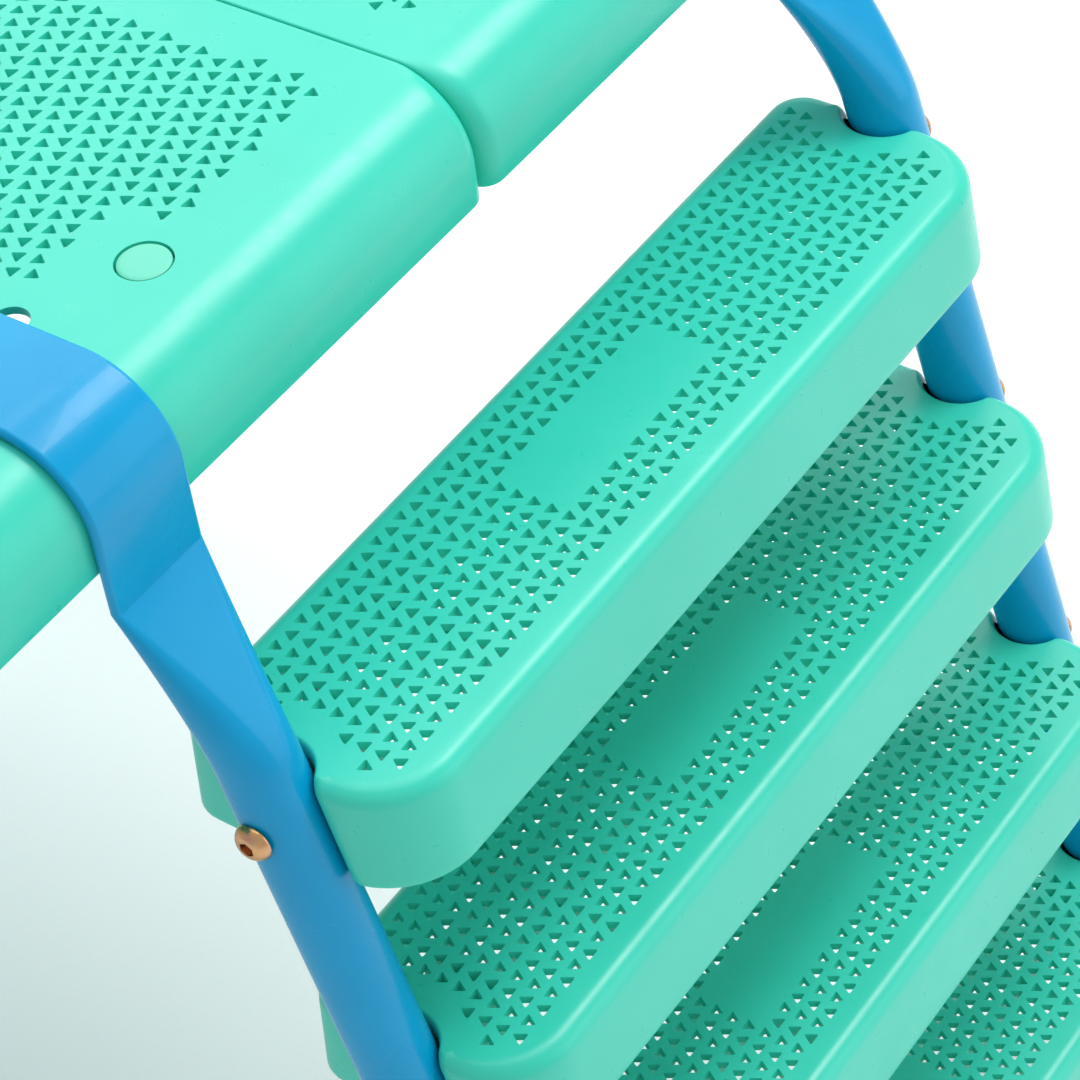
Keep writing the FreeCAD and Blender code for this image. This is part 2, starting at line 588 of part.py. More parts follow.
def make_seam_fasteners():
    """Screws and nuts that draw the two halves together along the seam."""
    z = PLATFORM_BASE + SEAM_BOLT_RISE
    face = SEAM_GAP / 2 + PLATFORM_WALL + SEAT_GAP
    screws = []
    nuts = []
    for y in SEAM_BOLTS:
        length = 2 * face + SCREW_NUT_HEIGHT + BOLT_TIP
        screws.append(button_bolt(vec(-face, y, z), X_AXIS, length, SCREW_DIAMETER,
                                  SCREW_HEAD_DIAMETER, SCREW_HEAD_HEIGHT))
        nuts.append(nut(vec(face, y, z), X_AXIS, SCREW_NUT_ACROSS_FLATS, SCREW_NUT_HEIGHT,
                        SCREW_DIAMETER))
    return Part.makeCompound(screws), Part.makeCompound(nuts)


# ---- Frame under the platform -------------------------------------------------------------------------
def make_crossbar(y):
    """Tube across the platform, drilled for the screws, the bearers' bolts and the legs' bolts."""
    bar = tube(vec(-CROSSBAR_END, y, CROSSBAR_Z), vec(CROSSBAR_END, y, CROSSBAR_Z))
    down = [(x, SCREW_HOLE) for x, place in plug_places() if place == y]
    if y == FRONT_BAR_Y:
        down += [(x, BOLT_HOLE) for x, place in chute_bolt_places()]
    along = [HALF_SPACING]
    if y == FRONT_BAR_Y:
        along.append(HALF_LEGS)
    for side in (-1, 1):
        for x, hole in down:
            bar = bar.cut(cylinder(vec(side * x, y, CROSSBAR_Z - 30), vec(side * x, y, CROSSBAR_Z + 30),
                                   hole / 2))
        for x in along:
            bar = bar.cut(cylinder(vec(side * x, y - 30, CROSSBAR_Z), vec(side * x, y + 30, CROSSBAR_Z),
                                   BOLT_HOLE / 2))
    return bar


def make_side_bearer(side):
    """Tube between the crossbars, coped to them, drilled for the ladder hook's bolt."""
    x = side * HALF_SPACING
    bearer = tube(vec(x, REAR_BAR_Y, CROSSBAR_Z), vec(x, FRONT_BAR_Y, CROSSBAR_Z))
    for y in (REAR_BAR_Y, FRONT_BAR_Y):
        bearer = bearer.cut(cylinder(vec(x - 50, y, CROSSBAR_Z), vec(x + 50, y, CROSSBAR_Z),
                                     TUBE_RADIUS + SEAT_GAP))
    bolt = vec(x, HOOK_BOLT_Y, CROSSBAR_Z)
    return bearer.cut(cylinder(bolt - Z_AXIS * 30, bolt + Z_AXIS * 30, BOLT_HOLE / 2))


def make_bearer_fasteners():
    """Bolts through the crossbars into the inserts in the bearers' ends."""
    bolts = []
    inserts = []
    for side in (-1, 1):
        for y, inward in ((REAR_BAR_Y, 1), (FRONT_BAR_Y, -1)):
            direction = Y_AXIS * inward
            seat = vec(side * HALF_SPACING, y - inward * TUBE_RADIUS, CROSSBAR_Z)
            mouth = vec(side * HALF_SPACING, y + inward * (TUBE_RADIUS + SEAT_GAP), CROSSBAR_Z)
            bolts.append(button_bolt(seat, direction, TUBE_DIAMETER + INSERT_LENGTH))
            inserts.append(insert(mouth, direction))
    return Part.makeCompound(bolts), Part.makeCompound(inserts)


def make_front_leg(side):
    """Front leg: bolted behind the front crossbar, leaning out towards the chute."""
    x = side * HALF_LEGS
    low = vec(x, leg_axis_y(-20), -20)
    high = vec(x, leg_axis_y(CROSSBAR_Z + LEG_TOP + 20), CROSSBAR_Z + LEG_TOP + 20)
    ends = block((-LONG, LONG), (-LONG, LONG), (FOOT_SOLE, CROSSBAR_Z + LEG_TOP))
    leg = tube(low, high).common(ends)
    bolt = vec(x, 0, CROSSBAR_Z)
    leg = leg.cut(cylinder(bolt, bolt + Y_AXIS * LONG, BOLT_HOLE / 2))
    brace = vec(x, leg_axis_y(BRACE_HEIGHT), BRACE_HEIGHT)
    return leg.cut(cylinder(brace - X_AXIS * 30, brace + X_AXIS * 30, BOLT_HOLE / 2))


def make_leg_fasteners():
    """Bolts through the front crossbar and the legs, with their nuts."""
    bolts = []
    nuts = []
    front = FRONT_BAR_Y + TUBE_RADIUS
    back = LEG_Y - TUBE_RADIUS / math.cos(math.radians(LEG_LEAN)) - NUT_ACROSS_FLATS / 2 * LEG_SLOPE
    for side in (-1, 1):
        x = side * HALF_LEGS
        length = front - back + NUT_HEIGHT + BOLT_TIP
        bolts.append(button_bolt(vec(x, front, CROSSBAR_Z), -Y_AXIS, length))
        nuts.append(nut(vec(x, back, CROSSBAR_Z), -Y_AXIS))
    return Part.makeCompound(bolts), Part.makeCompound(nuts)


def make_leg_brace():
    """Tube between the front legs, coped to them."""
    y = leg_axis_y(BRACE_HEIGHT)
    brace = tube(vec(-HALF_LEGS, y, BRACE_HEIGHT), vec(HALF_LEGS, y, BRACE_HEIGHT))
    for side in (-1, 1):
        x = side * HALF_LEGS
        brace = brace.cut(cylinder(vec(x, leg_axis_y(0), 0), vec(x, leg_axis_y(500), 500),
                                   TUBE_RADIUS + SEAT_GAP))
    return brace


def make_brace_fasteners():
    """Bolts through the front legs into the inserts in the brace's ends."""
    bolts = []
    inserts = []
    y = leg_axis_y(BRACE_HEIGHT)
    for side in (-1, 1):
        inward = vec(-side, 0, 0)
        bolts.append(button_bolt(vec(side * (HALF_LEGS + TUBE_RADIUS), y, BRACE_HEIGHT), inward,
                                 TUBE_DIAMETER + INSERT_LENGTH))
        inserts.append(insert(vec(side * (HALF_LEGS - TUBE_RADIUS - SEAT_GAP), y, BRACE_HEIGHT),
                              inward))
    return Part.makeCompound(bolts), Part.makeCompound(inserts)


# ---- Side rails -----------------------------------------------------------------------------------------
def swept_rod(path, start, direction, radius):
    """Round bar along a wire."""
    circle = Part.Wire(Part.Circle(start, direction, radius).toShape())
    return path.makePipeShell([circle], True, False)


def arch(points, bend):
    """Wire through four corner points, with its two inner corners rounded."""
    first, one, two, last = points
    edges = []
    previous = first
    for before, corner, after in ((first, one, two), (one, two, last)):
        back = (before - corner).normalize()
        on = (after - corner).normalize()
        half = math.acos(max(-1.0, min(1.0, back.dot(on)))) / 2
        run = bend / math.tan(half)
        start = corner + back * run
        end = corner + on * run
        centre_way = (back + on).normalize()
        middle = corner + centre_way * (bend / math.sin(half) - bend)
        edges.append(Part.makeLine(previous, start))
        edges.append(Part.Arc(start, middle, end).toShape())
        previous = end
    edges.append(Part.makeLine(previous, last))
    return Part.Wire(edges)


def bent_tube(points, bend):
    """Tube along an arch of four corner points."""
    direction = (points[1] - points[0]).normalize()
    path = arch(points, bend)
    outer = swept_rod(path, points[0], direction, TUBE_RADIUS)
    return outer.cut(swept_rod(path, points[0], direction, TUBE_RADIUS - TUBE_WALL))


def make_side_rail(side):
    """Hand rail at one side: a hoop whose legs are bolted to the ends of the crossbars."""
    x = side * RAIL_X
    low = CROSSBAR_Z - RAIL_TAIL
    high = PLATFORM_TOP + RAIL_HEIGHT
    points = [vec(x, REAR_BAR_Y, low), vec(x, REAR_BAR_Y, high),
              vec(x, FRONT_BAR_Y, high), vec(x, FRONT_BAR_Y, low)]
    rail = bent_tube(points, RAIL_BEND)
    for y in (REAR_BAR_Y, FRONT_BAR_Y):
        rail = rail.cut(cylinder(vec(x - 30, y, CROSSBAR_Z), vec(x + 30, y, CROSSBAR_Z),
                                 BOLT_HOLE / 2))
    return rail


def make_rail_fasteners():
    """Bolts through the rails into the crossbars' inserts, and caps under the rails' legs."""
    bolts = []
    inserts = []
    caps = []
    for side in (-1, 1):
        inward = vec(-side, 0, 0)
        for y in (REAR_BAR_Y, FRONT_BAR_Y):
            reach = RAIL_X + TUBE_RADIUS - CROSSBAR_END + INSERT_LENGTH
            bolts.append(button_bolt(vec(side * (RAIL_X + TUBE_RADIUS), y, CROSSBAR_Z), inward, reach))
            inserts.append(insert(vec(side * CROSSBAR_END, y, CROSSBAR_Z), inward))
            end = vec(side * RAIL_X, y, CROSSBAR_Z - RAIL_TAIL - SEAT_GAP / 2)
            flange = cylinder(end - Z_AXIS * CAP_FLANGE, end, TUBE_RADIUS)
            spigot = cylinder(end, end + Z_AXIS * CAP_SPIGOT,
                              TUBE_RADIUS - TUBE_WALL - INSERT_CLEARANCE)
            caps.append(flange.fuse(spigot))
    return Part.makeCompound(bolts), Part.makeCompound(inserts), Part.makeCompound(caps)


# ---- Chute ------------------------------------------------------------------------------------------------
def chute_path():
    """Wire of the sliding surface's middle line: head, slope and run-out, joined by arcs."""
    slope = math.radians(CHUTE_SLOPE)
    y_head, head, y_foot, foot, y_end = chute_path_points()
    start = vec(0, CHUTE_HEAD_Y, CHUTE_HEAD_Z)
    a = vec(0, y_head - head, CHUTE_HEAD_Z)
    a_mid = vec(0, a.y + CHUTE_HEAD_BEND * math.sin(slope / 2),
                CHUTE_HEAD_Z - CHUTE_HEAD_BEND * (1 - math.cos(slope / 2)))
    b = vec(0, y_head + head * math.cos(slope), CHUTE_HEAD_Z - head * math.sin(slope))
    c = vec(0, y_foot - foot * math.cos(slope), CHUTE_EXIT_HEIGHT + foot * math.sin(slope))
    d = vec(0, y_foot + foot, CHUTE_EXIT_HEIGHT)
    d_mid = vec(0, d.y - CHUTE_EXIT_BEND * math.sin(slope / 2),
                CHUTE_EXIT_HEIGHT + CHUTE_EXIT_BEND * (1 - math.cos(slope / 2)))
    end = vec(0, y_end, CHUTE_EXIT_HEIGHT)
    return Part.Wire([Part.makeLine(start, a), Part.Arc(a, a_mid, b).toShape(),
                      Part.makeLine(b, c), Part.Arc(c, d_mid, d).toShape(),
                      Part.makeLine(d, end)])


def chute_section():
    """Wire of the chute's wall: bed, rounded corners, upright sides and outward lips."""
    def at(x, z):
        return vec(x, CHUTE_HEAD_Y, CHUTE_HEAD_Z + z)
    inner = CHUTE_CORNER
    outer = CHUTE_CORNER + CHUTE_WALL
    diagonal = math.sqrt(0.5)
    lip = HALF_BED + CHUTE_LIP
    top = CHUTE_SIDE_HEIGHT

    def half(side):
        low = at(side * (HALF_BED - inner), -CHUTE_WALL)
        low_mid = at(side * (HALF_BED - inner + outer * diagonal), inner - outer * diagonal)
        low_end = at(side * CHUTE_OUTER, inner)
        high = at(side * (HALF_BED - inner), 0)
        high_mid = at(side * (HALF_BED - inner + inner * diagonal), inner - inner * diagonal)
        high_end = at(side * HALF_BED, inner)
        corners = [low_end, at(side * CHUTE_OUTER, top - CHUTE_WALL),
                   at(side * (lip - CHUTE_WALL), top - CHUTE_WALL),
                   at(side * (lip - CHUTE_WALL), top - CHUTE_LIP_DROP),
                   at(side * lip, top - CHUTE_LIP_DROP), at(side * lip, top),
                   at(side * HALF_BED, top), high_end]
        parts = [Part.Arc(low, low_mid, low_end).toShape()]
        parts += [Part.makeLine(p, q) for p, q in zip(corners, corners[1:])]
        parts.append(Part.Arc(high_end, high_mid, high).toShape())
        return low, high, parts
    low_r, high_r, right = half(1)
    low_l, high_l, left = half(-1)
    edges = right + [Part.makeLine(high_r, high_l)] + left[::-1] + [Part.makeLine(low_l, low_r)]
    return Part.Wire(Part.__sortEdges__(edges))


def make_chute():
    """Chute: one moulded channel from the platform down to the run-out, with a head flange."""
    sweep = Part.BRepOffsetAPI.MakePipeShell(chute_path())
    sweep.setBiNormalMode(X_AXIS)
    sweep.add(chute_section())
    sweep.build()
    sweep.makeSolid()
    chute = sweep.shape()
    under = PLATFORM_TOP + SEAT_GAP
    flange = block((-CHUTE_OUTER, CHUTE_OUTER),
                   (PLATFORM_DEPTH - CHUTE_FLANGE, CHUTE_HEAD_Y + 1), (under, CHUTE_HEAD_Z))
    rear = [e for e in flange.Edges
            if e.BoundBox.ZLength > CHUTE_WALL / 2 and e.BoundBox.YMax < PLATFORM_DEPTH]
    flange = flange.makeFillet(CHUTE_CORNER / 2, rear)
    top = CHUTE_HEAD_Z + CHUTE_SIDE_HEIGHT + 5
    low = CHUTE_HEAD_Z + 6
    head_cut = profile_x([(CHUTE_HEAD_Y - 5, low), (CHUTE_HEAD_Y - 5, top + 60),
                          (CHUTE_HEAD_Y + CHUTE_HEAD_CUT, top + 60),
                          (CHUTE_HEAD_Y + CHUTE_HEAD_CUT, top)], -300, 300)
    end = CHUTE_END_Y + 1
    exit_top = CHUTE_EXIT_HEIGHT + CHUTE_SIDE_HEIGHT + 1
    exit_cut = profile_x([(end, exit_top), (end, exit_top - CHUTE_EXIT_CUT),
                          (end - CHUTE_EXIT_CUT, exit_top)], -300, 300)
    chute = chute.fuse(flange).cut(head_cut).cut(exit_cut)
    for side in (-1, 1):
        for x, y in chute_bolt_places():
            place = vec(side * x, y, CHUTE_HEAD_Z)
            chute = chute.cut(cylinder(place - Z_AXIS * 20, place + Z_AXIS * 5, BOLT_HOLE / 2))
        hoop = vec(side * CHUTE_OUTER, CHUTE_END_Y - FOOT_HOOP_INSET, hoop_bolt_z())
        chute = chute.cut(cylinder(hoop - X_AXIS * 20, hoop + X_AXIS * 20, BOLT_HOLE / 2))
    return chute.removeSplitter()


def hoop_bolt_z():
    """Height of the bolts that hold the foot hoop to the chute's sides."""
    return CHUTE_EXIT_HEIGHT + CHUTE_CORNER + FOOT_HOOP_BOLT


def make_foot_hoop():
    """Bent tube under the run-out: two uprights beside the chute and a bar on the floor."""
    y = CHUTE_END_Y - FOOT_HOOP_INSET
    top = CHUTE_EXIT_HEIGHT + CHUTE_CORNER + FOOT_HOOP_TOP
    floor = TUBE_RADIUS
    points = [vec(-HOOP_X, y, top), vec(-HOOP_X, y, floor), vec(HOOP_X, y, floor), vec(HOOP_X, y, top)]
    hoop = bent_tube(points, FOOT_HOOP_BEND)
    bolt = vec(0, y, hoop_bolt_z())
    return hoop.cut(cylinder(bolt - X_AXIS * LONG, bolt + X_AXIS * LONG, BOLT_HOLE / 2))


def make_hoop_fasteners():
    """Bolts through the hoop and the chute's sides, their flanged nuts, and the hoop's caps."""
    y = CHUTE_END_Y - FOOT_HOOP_INSET
    bolts = []
    nuts = []
    caps = []
    for side in (-1, 1):
        inward = vec(-side, 0, 0)
        seat = vec(side * (HOOP_X + TUBE_RADIUS), y, hoop_bolt_z())
        face = vec(side * (HALF_BED - SEAT_GAP / 2), y, hoop_bolt_z())
        cover = cylinder(face, face + inward * FOOT_HOOP_NUT_HEIGHT, FOOT_HOOP_NUT / 2)
        depth = FOOT_HOOP_NUT_HEIGHT - CAP_FLANGE / 2
        reach = seat.x * side - HALF_BED + depth
        hole = cylinder(face - inward, face + inward * (depth + SEAT_GAP),
                        BOLT_DIAMETER / 2 + THREAD_CLEARANCE)
        bolts.append(button_bolt(seat, inward, reach))
        nuts.append(cover.cut(hole))
        end = vec(side * HOOP_X, y,
                  CHUTE_EXIT_HEIGHT + CHUTE_CORNER + FOOT_HOOP_TOP + SEAT_GAP / 2)
        caps.append(cylinder(end, end + Z_AXIS * CAP_FLANGE, TUBE_RADIUS).fuse(
            cylinder(end, end - Z_AXIS * CAP_SPIGOT, TUBE_RADIUS - TUBE_WALL - INSERT_CLEARANCE)))
    return Part.makeCompound(bolts), Part.makeCompound(nuts), Part.makeCompound(caps)


# ---- The whole slide ---------------------------------------------------------------------------------------
def make_nodes():
    """All pieces of the slide by node name."""
    nodes = {}
    tread = make_tread()
    for number in range(1, STEP_COUNT + 1):
        nodes[f"step_{number}"] = place_on_step(tread, number)
    nodes["step_bolts"], nodes["step_nuts"] = make_step_fasteners()
    nodes["ladder_tube_left"] = make_ladder_tube(-1)
    nodes["ladder_tube_right"] = make_ladder_tube(1)
    nodes["ladder_feet"] = both_sides(make_foot(HALF_SPACING, ladder_axis_y))
    nodes["hook_bolts"], nodes["hook_nuts"] = bolts_down(
        [(HALF_SPACING, HOOK_BOLT_Y)], PLATFORM_TOP + SEAT_GAP + HOOK_THICKNESS)
    left = make_platform_left()
    nodes["platform_left"] = left
    nodes["platform_right"] = mirrored(left)
    nodes["platform_screws"], nodes["platform_nuts"], nodes["platform_plugs"] = make_platform_fasteners()
    nodes["seam_screws"], nodes["seam_nuts"] = make_seam_fasteners()
    nodes["rear_crossbar"] = make_crossbar(REAR_BAR_Y)
    nodes["front_crossbar"] = make_crossbar(FRONT_BAR_Y)
    nodes["side_bearer_left"] = make_side_bearer(-1)
    nodes["side_bearer_right"] = make_side_bearer(1)
    nodes["bearer_bolts"], nodes["bearer_inserts"] = make_bearer_fasteners()
    nodes["front_leg_left"] = make_front_leg(-1)
    nodes["front_leg_right"] = make_front_leg(1)
    nodes["front_feet"] = both_sides(make_foot(HALF_LEGS, leg_axis_y))
    nodes["leg_bolts"], nodes["leg_nuts"] = make_leg_fasteners()
    nodes["leg_brace"] = make_leg_brace()
    nodes["brace_bolts"], nodes["brace_inserts"] = make_brace_fasteners()
    nodes["side_rail_left"] = make_side_rail(-1)
    nodes["side_rail_right"] = make_side_rail(1)
    nodes["rail_bolts"], nodes["rail_inserts"], nodes["rail_caps"] = make_rail_fasteners()
    nodes["chute"] = make_chute()
    nodes["chute_bolts"], nodes["chute_nuts"] = bolts_down(chute_bolt_places(), CHUTE_HEAD_Z)
    nodes["chute_foot_hoop"] = make_foot_hoop()
    nodes["hoop_bolts"], nodes["hoop_nuts"], nodes["hoop_caps"] = make_hoop_fasteners()
    return nodes


def main():
    """Build every node and write it as its own STEP file."""
    os.makedirs("parts", exist_ok=True)
    for name, shape in make_nodes().items():
        shape.translate(vec(0, -MIDDLE_Y, 0))
        if not shape.isValid():
            print("not valid:", name)
        shape.exportStep(f"parts/{name}.step")
        box = shape.BoundBox
        print(f"{name}: {len(shape.Solids)} solids, x {box.XMin:.1f} {box.XMax:.1f}, "
              f"y {box.YMin:.1f} {box.YMax:.1f}, z {box.ZMin:.1f} {box.ZMax:.1f}")


main()
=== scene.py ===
"""Toddler slide: perforated treads, two-part platform, hooked ladder tubes, rails and chute.

Lengths are in millimetres until a mesh is made, and every piece takes its place from the frame.
"""
import logging
import math
from dataclasses import dataclass, field
from enum import Enum
from typing import Iterable, Optional, Sequence

import bmesh
import bpy
from mathutils import Matrix, Vector


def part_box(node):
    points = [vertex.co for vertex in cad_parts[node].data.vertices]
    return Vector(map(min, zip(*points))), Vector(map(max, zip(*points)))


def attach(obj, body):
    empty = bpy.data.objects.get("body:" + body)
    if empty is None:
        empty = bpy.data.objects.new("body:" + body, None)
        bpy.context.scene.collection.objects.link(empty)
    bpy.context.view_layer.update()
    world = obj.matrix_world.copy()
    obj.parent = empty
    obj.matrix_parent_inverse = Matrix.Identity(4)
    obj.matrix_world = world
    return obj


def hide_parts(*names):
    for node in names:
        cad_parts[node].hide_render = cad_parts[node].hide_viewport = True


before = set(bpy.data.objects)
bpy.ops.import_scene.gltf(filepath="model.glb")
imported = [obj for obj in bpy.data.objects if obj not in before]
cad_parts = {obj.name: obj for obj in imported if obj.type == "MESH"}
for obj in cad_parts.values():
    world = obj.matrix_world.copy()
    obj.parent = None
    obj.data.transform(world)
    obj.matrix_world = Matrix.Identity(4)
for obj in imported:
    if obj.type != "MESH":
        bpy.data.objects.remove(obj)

MM = 0.001                            # metres in a millimetre
LEAN = math.tan(math.radians(14.2))   # of the ladder tubes, towards the platform
TUBE_RADIUS = 14.0
HALF_SPACING = 189.5                  # from the slide's middle to a ladder tube's axis
MIRROR = (-1, 1)                      # the left and the right side
SMOOTH_ANGLE = 32.0                   # edges that turn by more degrees than this stay sharp
LOG = logging.getLogger("slide")

Point = tuple[float, float, float]
Ring = list[Point]
Plan = list[tuple[float, float]]
Skin = tuple[list[Point], list[list[int]]]


# ---- Colours and nodes ---------------------------------------------------------------------------
def linear(code: str) -> tuple[float, float, float, float]:
    """Turns an sRGB hex colour into linear values.

    Args:
        code: six hexadecimal digits.

    Returns:
        Red, green, blue and an alpha of one.
    """
    parts = [int(code[k:k + 2], 16) / 255 for k in (0, 2, 4)]
    red, green, blue = [p / 12.92 if p <= 0.04045 else ((p + 0.055) / 1.055) ** 2.4 for p in parts]
    return red, green, blue, 1.0


def add_node(tree: bpy.types.NodeTree, kind: str, settings: Optional[dict] = None,
             links: Optional[dict] = None) -> bpy.types.Node:
    """Adds a node with its settings and the links into it.

    Args:
        tree: the tree that gets the node.
        kind: the node's type.
        settings: property names, or socket names and numbers, with their values.
        links: socket names or numbers of the new node, with the sockets that feed them.

    Returns:
        The new node.
    """
    node = tree.nodes.new(kind)
    for name, value in (settings or {}).items():
        if isinstance(name, str) and name in node.bl_rna.properties:
            setattr(node, name, value)
        else:
            node.inputs[name].default_value = value
    for name, source in (links or {}).items():
        tree.links.new(source, node.inputs[name])
    return node


# ---- Finishes ------------------------------------------------------------------------------------
@dataclass(frozen=True)
class Finish:
    """What every finish shares: a name, a colour and the colour that it drifts to."""
    name: str
    colour: str
    drift: str

    def start(self) -> tuple[bpy.types.Material, bpy.types.NodeTree, bpy.types.Node]:
        """Makes an empty material.

        Returns:
            The material, its tree and a node with the object's coordinates.
        """
        material = bpy.data.materials.new(self.name)
        material.use_nodes = True
        tree = material.node_tree
        tree.nodes.clear()
        where = add_node(tree, "ShaderNodeTexCoord")
        return material, tree, where

    def noise(self, tree: bpy.types.NodeTree, where: bpy.types.Node, size: float,
              detail: float = 3.0) -> bpy.types.NodeSocket:
        """Adds a noise.

        Args:
            tree: the material's tree.
            where: node with the object's coordinates.
            size: about how large the noise's patches are, in millimetres.
            detail: how many finer layers the noise has.

        Returns:
            The noise's value.
        """
        node = add_node(tree, "ShaderNodeTexNoise",
                        {"Scale": 1 / (size * MM), "Detail": detail, "Roughness": 0.55},
                        {"Vector": where.outputs["Object"]})
        return node.outputs["Fac"]

    def spread(self, tree: bpy.types.NodeTree, source: bpy.types.NodeSocket, low: float,
               high: float) -> bpy.types.NodeSocket:
        """Stretches a noise between two values.

        Args:
            tree: the material's tree.
            source: the noise's value.
            low: result in the noise's hollows.
            high: result on its crests.

        Returns:
            The stretched value.
        """
        node = add_node(tree, "ShaderNodeMapRange",
                        {"From Min": 0.3, "From Max": 0.7, "To Min": low, "To Max": high},
                        {"Value": source})
        return node.outputs["Result"]

    def close(self, tree: bpy.types.NodeTree, shader: bpy.types.Node) -> None:
        """Joins the shader to the material's output."""
        add_node(tree, "ShaderNodeOutputMaterial", links={"Surface": shader.outputs[0]})

    def tint(self, tree: bpy.types.NodeTree, amount: bpy.types.NodeSocket) -> bpy.types.NodeSocket:
        """Mixes the finish's two colours.

        Args:
            tree: the material's tree.
            amount: share of the second colour.

        Returns:
            The mixed colour.
        """
        node = add_node(tree, "ShaderNodeMix", {"data_type": "RGBA"}, {"Factor": amount})
        node.inputs[6].default_value = linear(self.colour)
        node.inputs[7].default_value = linear(self.drift)
        return node.outputs[2]

    def relief(self, tree: bpy.types.NodeTree, height: bpy.types.NodeSocket, strength: float,
               depth: float, under: Optional[bpy.types.NodeSocket] = None) -> bpy.types.NodeSocket:
        """Adds a bump.

        Args:
            tree: the material's tree.
            height: what the bump rises and falls with.
            strength: how strongly it tilts the surface.
            depth: how deep it is, in millimetres.
            under: another bump that this one lies on.

        Returns:
            The surface's new normal.
        """
        links = {"Height": height}
        if under is not None:
            links["Normal"] = under
        node = add_node(tree, "ShaderNodeBump", {"Strength": strength, "Distance": depth * MM},
                        links)
        return node.outputs["Normal"]


@dataclass(frozen=True)
class MouldedPolypropylene(Finish):
    """Injection-moulded polypropylene: waxy, a little see-through, with a fine satin grain."""
    roughness: float = 0.3
    flow: float = 70.0               # patches of colour that the melt leaves
    grain: float = 1.1               # really about 0.1 mm; drawn coarser so that it shows
    sink: float = 24.0               # shallow waves over the ribs
    handling: float = 9.0            # duller and shinier patches
    depth_of_light: float = 2.5

    def material(self) -> bpy.types.Material:
        """Builds the material.

        Returns:
            The material.
        """
        material, tree, where = self.start()
        flow = self.noise(tree, where, self.flow, 2.0)
        grain = self.noise(tree, where, self.grain, 2.0)
        sink = self.noise(tree, where, self.sink, 1.0)
        handling = self.noise(tree, where, self.handling, 5.0)
        soft = self.relief(tree, sink, 0.12, 0.25)
        normal = self.relief(tree, grain, 0.16, 0.05, soft)
        shader = add_node(tree, "ShaderNodeBsdfPrincipled",
                          {"IOR": 1.49, "Subsurface Weight": 0.18,
                           "Subsurface Radius": (0.25, 1.0, 0.7),
                           "Subsurface Scale": self.depth_of_light * MM},
                          {"Base Color": self.tint(tree, self.spread(tree, flow, 0.0, 1.0)),
                           "Roughness": self.spread(tree, handling, self.roughness - 0.03,
                                                    self.roughness + 0.06),
                           "Normal": normal})
        self.close(tree, shader)
        return material


@dataclass(frozen=True)
class EnamelledSteel(Finish):
    """Steel tube under a glossy baked enamel, with the slight orange peel of sprayed paint."""
    roughness: float = 0.2
    film: float = 45.0               # thicker and thinner paint
    peel: float = 3.5                # dimples of the orange peel
    smears: float = 14.0             # marks of hands

    def material(self) -> bpy.types.Material:
        """Builds the material.

        Returns:
            The material.
        """
        material, tree, where = self.start()
        film = self.noise(tree, where, self.film, 2.0)
        peel = self.noise(tree, where, self.peel, 1.5)
        smears = self.noise(tree, where, self.smears, 4.0)
        shader = add_node(tree, "ShaderNodeBsdfPrincipled",
                          {"IOR": 1.5, "Specular IOR Level": 0.22, "Coat Weight": 0.12,
                           "Coat Roughness": 0.05, "Coat IOR": 1.5},
                          {"Base Color": self.tint(tree, self.spread(tree, film, 0.0, 1.0)),
                           "Roughness": self.spread(tree, smears, self.roughness,
                                                    self.roughness + 0.1),
                           "Normal": self.relief(tree, peel, 0.3, 0.09),
                           "Coat Normal": self.relief(tree, peel, 0.22, 0.07)})
        self.close(tree, shader)
        return material


@dataclass(frozen=True)
class YellowZincSteel(Finish):
    """Steel screws with yellow-passivated zinc: warm gold metal with faint rainbow patches."""
    bloom: str = "b88fa0"
    roughness: float = 0.22
    patches: float = 4.0             # uneven plating
    marks: float = 0.8               # pits from tumbling
    blooms: float = 7.0              # rainbow patches

    def material(self) -> bpy.types.Material:
        """Builds the material.

        Returns:
            The material.
        """
        material, tree, where = self.start()
        patches = self.noise(tree, where, self.patches, 3.0)
        marks = self.noise(tree, where, self.marks, 2.0)
        blooms = self.noise(tree, where, self.blooms, 2.0)
        base = self.tint(tree, self.spread(tree, patches, 0.0, 1.0))
        mix = add_node(tree, "ShaderNodeMix", {"data_type": "RGBA"},
                       {"Factor": self.spread(tree, blooms, 0.0, 0.45), 6: base})
        mix.inputs[7].default_value = linear(self.bloom)
        shader = add_node(tree, "ShaderNodeBsdfPrincipled", {"Metallic": 1.0},
                          {"Base Color": mix.outputs[2],
                           "Roughness": self.spread(tree, patches, self.roughness,
                                                    self.roughness + 0.15),
                           "Normal": self.relief(tree, marks, 0.25, 0.05)})
        self.close(tree, shader)
        return material


@dataclass(frozen=True)
class MouldedRubber(Finish):
    """Dark moulded rubber: matt, with a dusty bloom and a pebbled grain."""
    roughness: float = 0.68
    dust: float = 18.0
    pebbles: float = 0.9

    def material(self) -> bpy.types.Material:
        """Builds the material.

        Returns:
            The material.
        """
        material, tree, where = self.start()
        dust = self.noise(tree, where, self.dust, 5.0)
        pebbles = self.noise(tree, where, self.pebbles, 2.0)
        shader = add_node(tree, "ShaderNodeBsdfPrincipled", {"IOR": 1.52},
                          {"Base Color": self.tint(tree, self.spread(tree, dust, 0.0, 1.0)),
                           "Roughness": self.spread(tree, dust, self.roughness,
                                                    self.roughness + 0.14),
                           "Normal": self.relief(tree, pebbles, 0.5, 0.12)})
        self.close(tree, shader)
        return material


